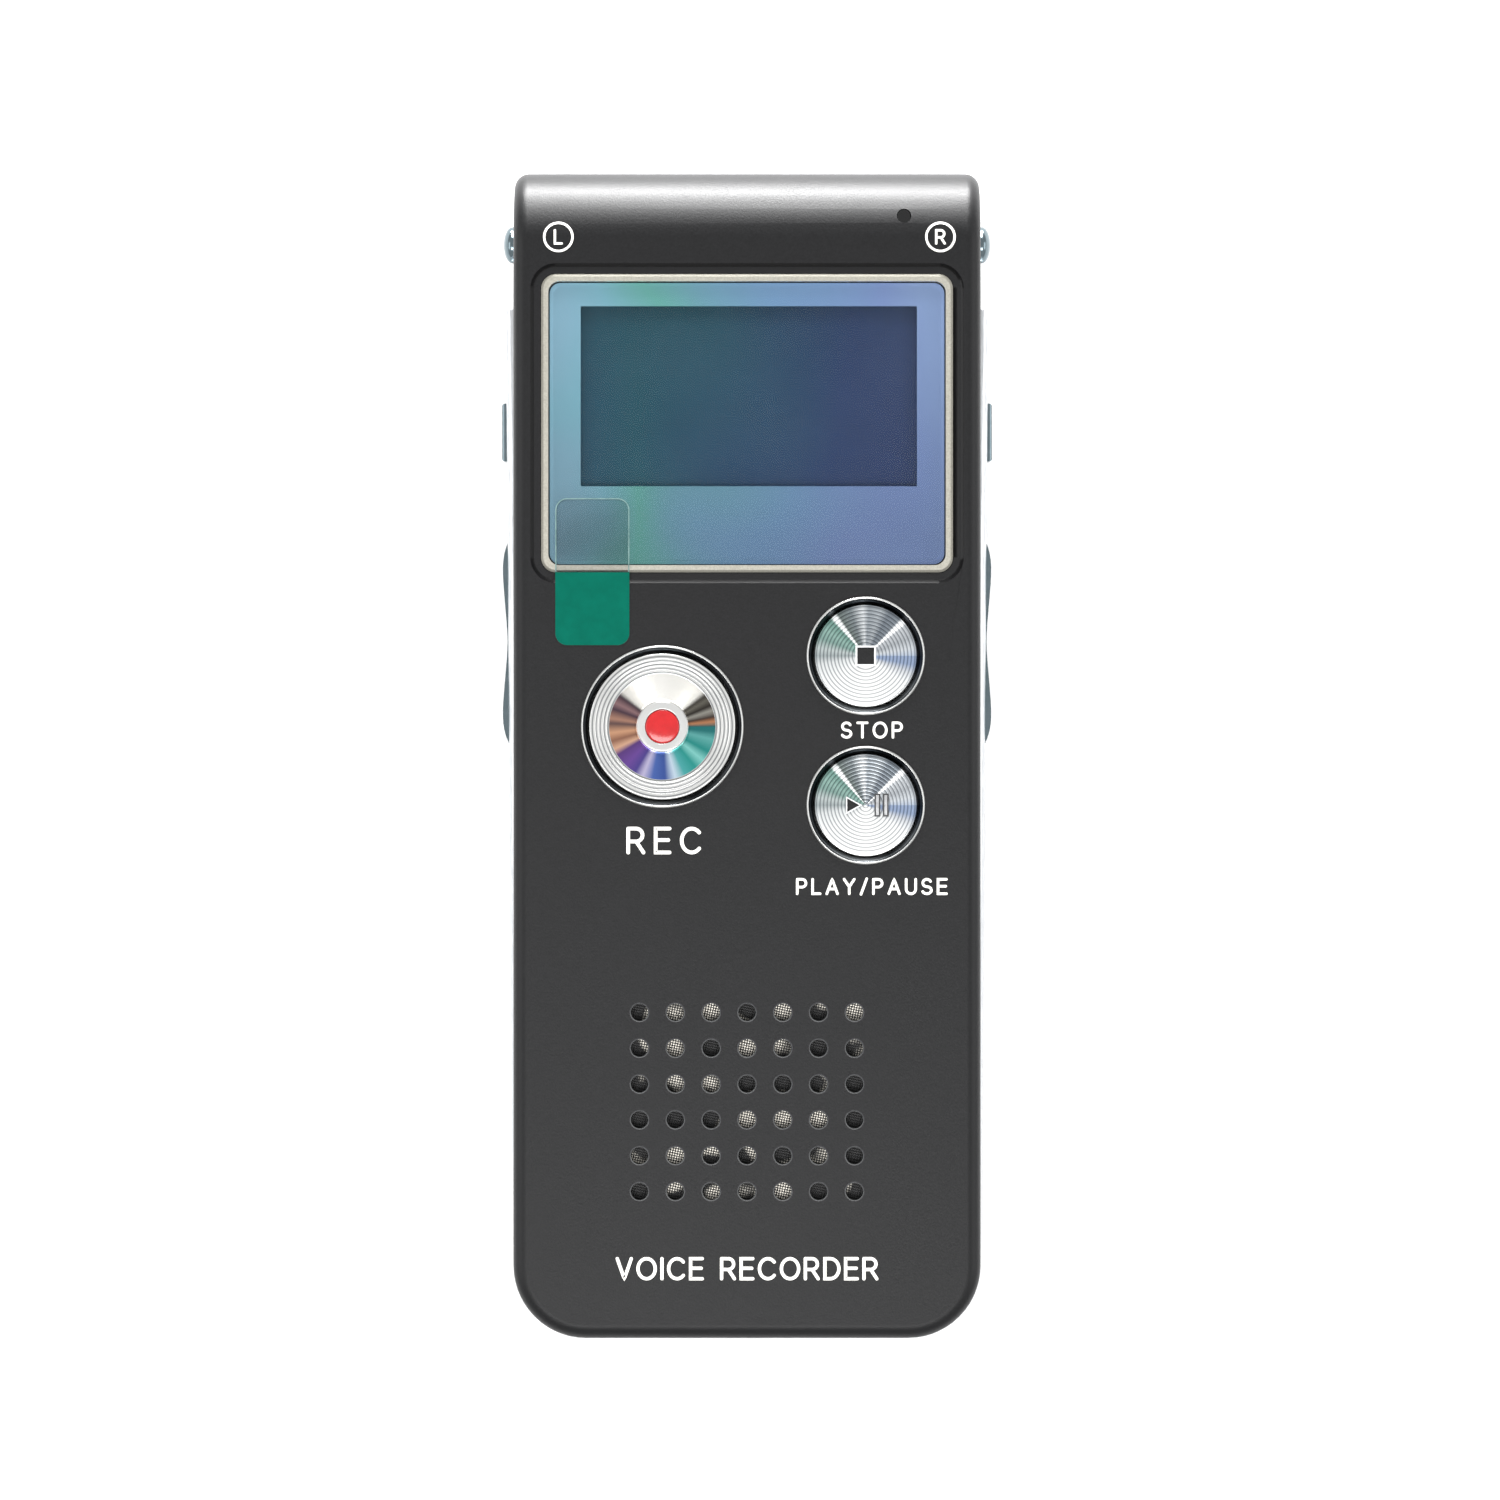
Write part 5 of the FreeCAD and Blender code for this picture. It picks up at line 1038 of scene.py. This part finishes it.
def build_sides():
    """Side keys, the green half of the pull tab, the microphone domes and the tab's cut edges."""
    build_shells((
        ("left_rocker", "plated ABS", "chrome"),
        ("right_rocker", "plated ABS", "chrome"),
        ("left_button", "plated ABS", "chrome"),
        ("right_button", "plated ABS", "chrome"),
        ("pull_tab_green", "green film", "green_film"),
    ))
    for side in ("left", "right"):
        dress(mic_dome(f"mic_dome_{side}", f"mic_cap_{side}"), "plated ABS")
    tab_edge("clear_edge", "pull_tab_clear", 1)
    tab_edge("green_edge", "pull_tab_green", -1)


def build_stage():
    """Pale floor, a soft panel and a low strip beyond the nose, two side panels and one at the foot.

    The floor lies 0.01 mm above the flat back, because in the same plane the two would show in patches.
    """
    size, level = 3.0, 0.01 * MM
    verts = [(-size, -size, level), (size, -size, level), (size, size, level), (-size, size, level)]
    mesh = bpy.data.meshes.new("floor")
    mesh.from_pydata(verts, [], [(0, 1, 2, 3)])
    floor = bpy.data.objects.new("floor", mesh)
    bpy.context.scene.collection.objects.link(floor)
    mesh.materials.append(grained("matt white card", "#F2F2F2", "#F6F6F6", 2.0, 0.001, (0.9, 1.0)))
    lamps = (  # place, width and length in metres, power in watts
        ("head panel", (0.0, 0.5, 0.19), 0.2, 0.36, 4.2),
        ("nose strip", (0.0, 0.115, 0.007), 0.08, 0.013, 0.33),
        ("left panel", (-0.5, 0.0, 0.3), 0.35, 0.35, 0.9),
        ("right panel", (0.5, 0.0, 0.3), 0.35, 0.35, 0.9),
        ("foot panel", (-0.02, -0.15, 0.4), 0.3, 0.12, 1.0),
    )
    aim = Vector((0, 0, 0.01))
    for name, spot, width, height, power in lamps:
        lamp = bpy.data.lights.new(name, "AREA")
        lamp.shape = "RECTANGLE"
        lamp.size, lamp.size_y = width, height
        lamp.energy = power
        holder = bpy.data.objects.new(name, lamp)
        holder.location = spot
        holder.rotation_mode = "QUATERNION"
        holder.rotation_quaternion = (aim - Vector(spot)).to_track_quat("-Z", "Y")
        holder.visible_camera = False
        bpy.context.scene.collection.objects.link(holder)
    world = bpy.data.worlds.new("soft room")
    world.use_nodes = True
    backdrop = world.node_tree.nodes["Background"]
    backdrop.inputs["Color"].default_value = linear("#FAFBFC")
    backdrop.inputs["Strength"].default_value = 1.0
    bpy.context.scene.world = world
    bpy.context.scene.view_settings.view_transform = "Standard"


def build_camera():
    """Straight above the face, a little off the middle; the frame is 125.6 mm wide at the face."""
    distance, field, aside, along = 0.62, 0.1256, 0.25 * MM, 0.33 * MM
    camera = bpy.data.cameras.new("camera")
    camera.sensor_width = 36.0
    camera.lens = camera.sensor_width * distance / field
    camera.clip_start, camera.clip_end = 0.01, 10.0
    holder = bpy.data.objects.new("camera", camera)
    holder.location = (aside, along, FACE + distance)
    bpy.context.scene.collection.objects.link(holder)
    bpy.context.scene.camera = holder


build_camera()
finish_nodes()
build_case()
build_buttons()
build_marks()
build_prints()
build_window()
build_sides()
build_stage()
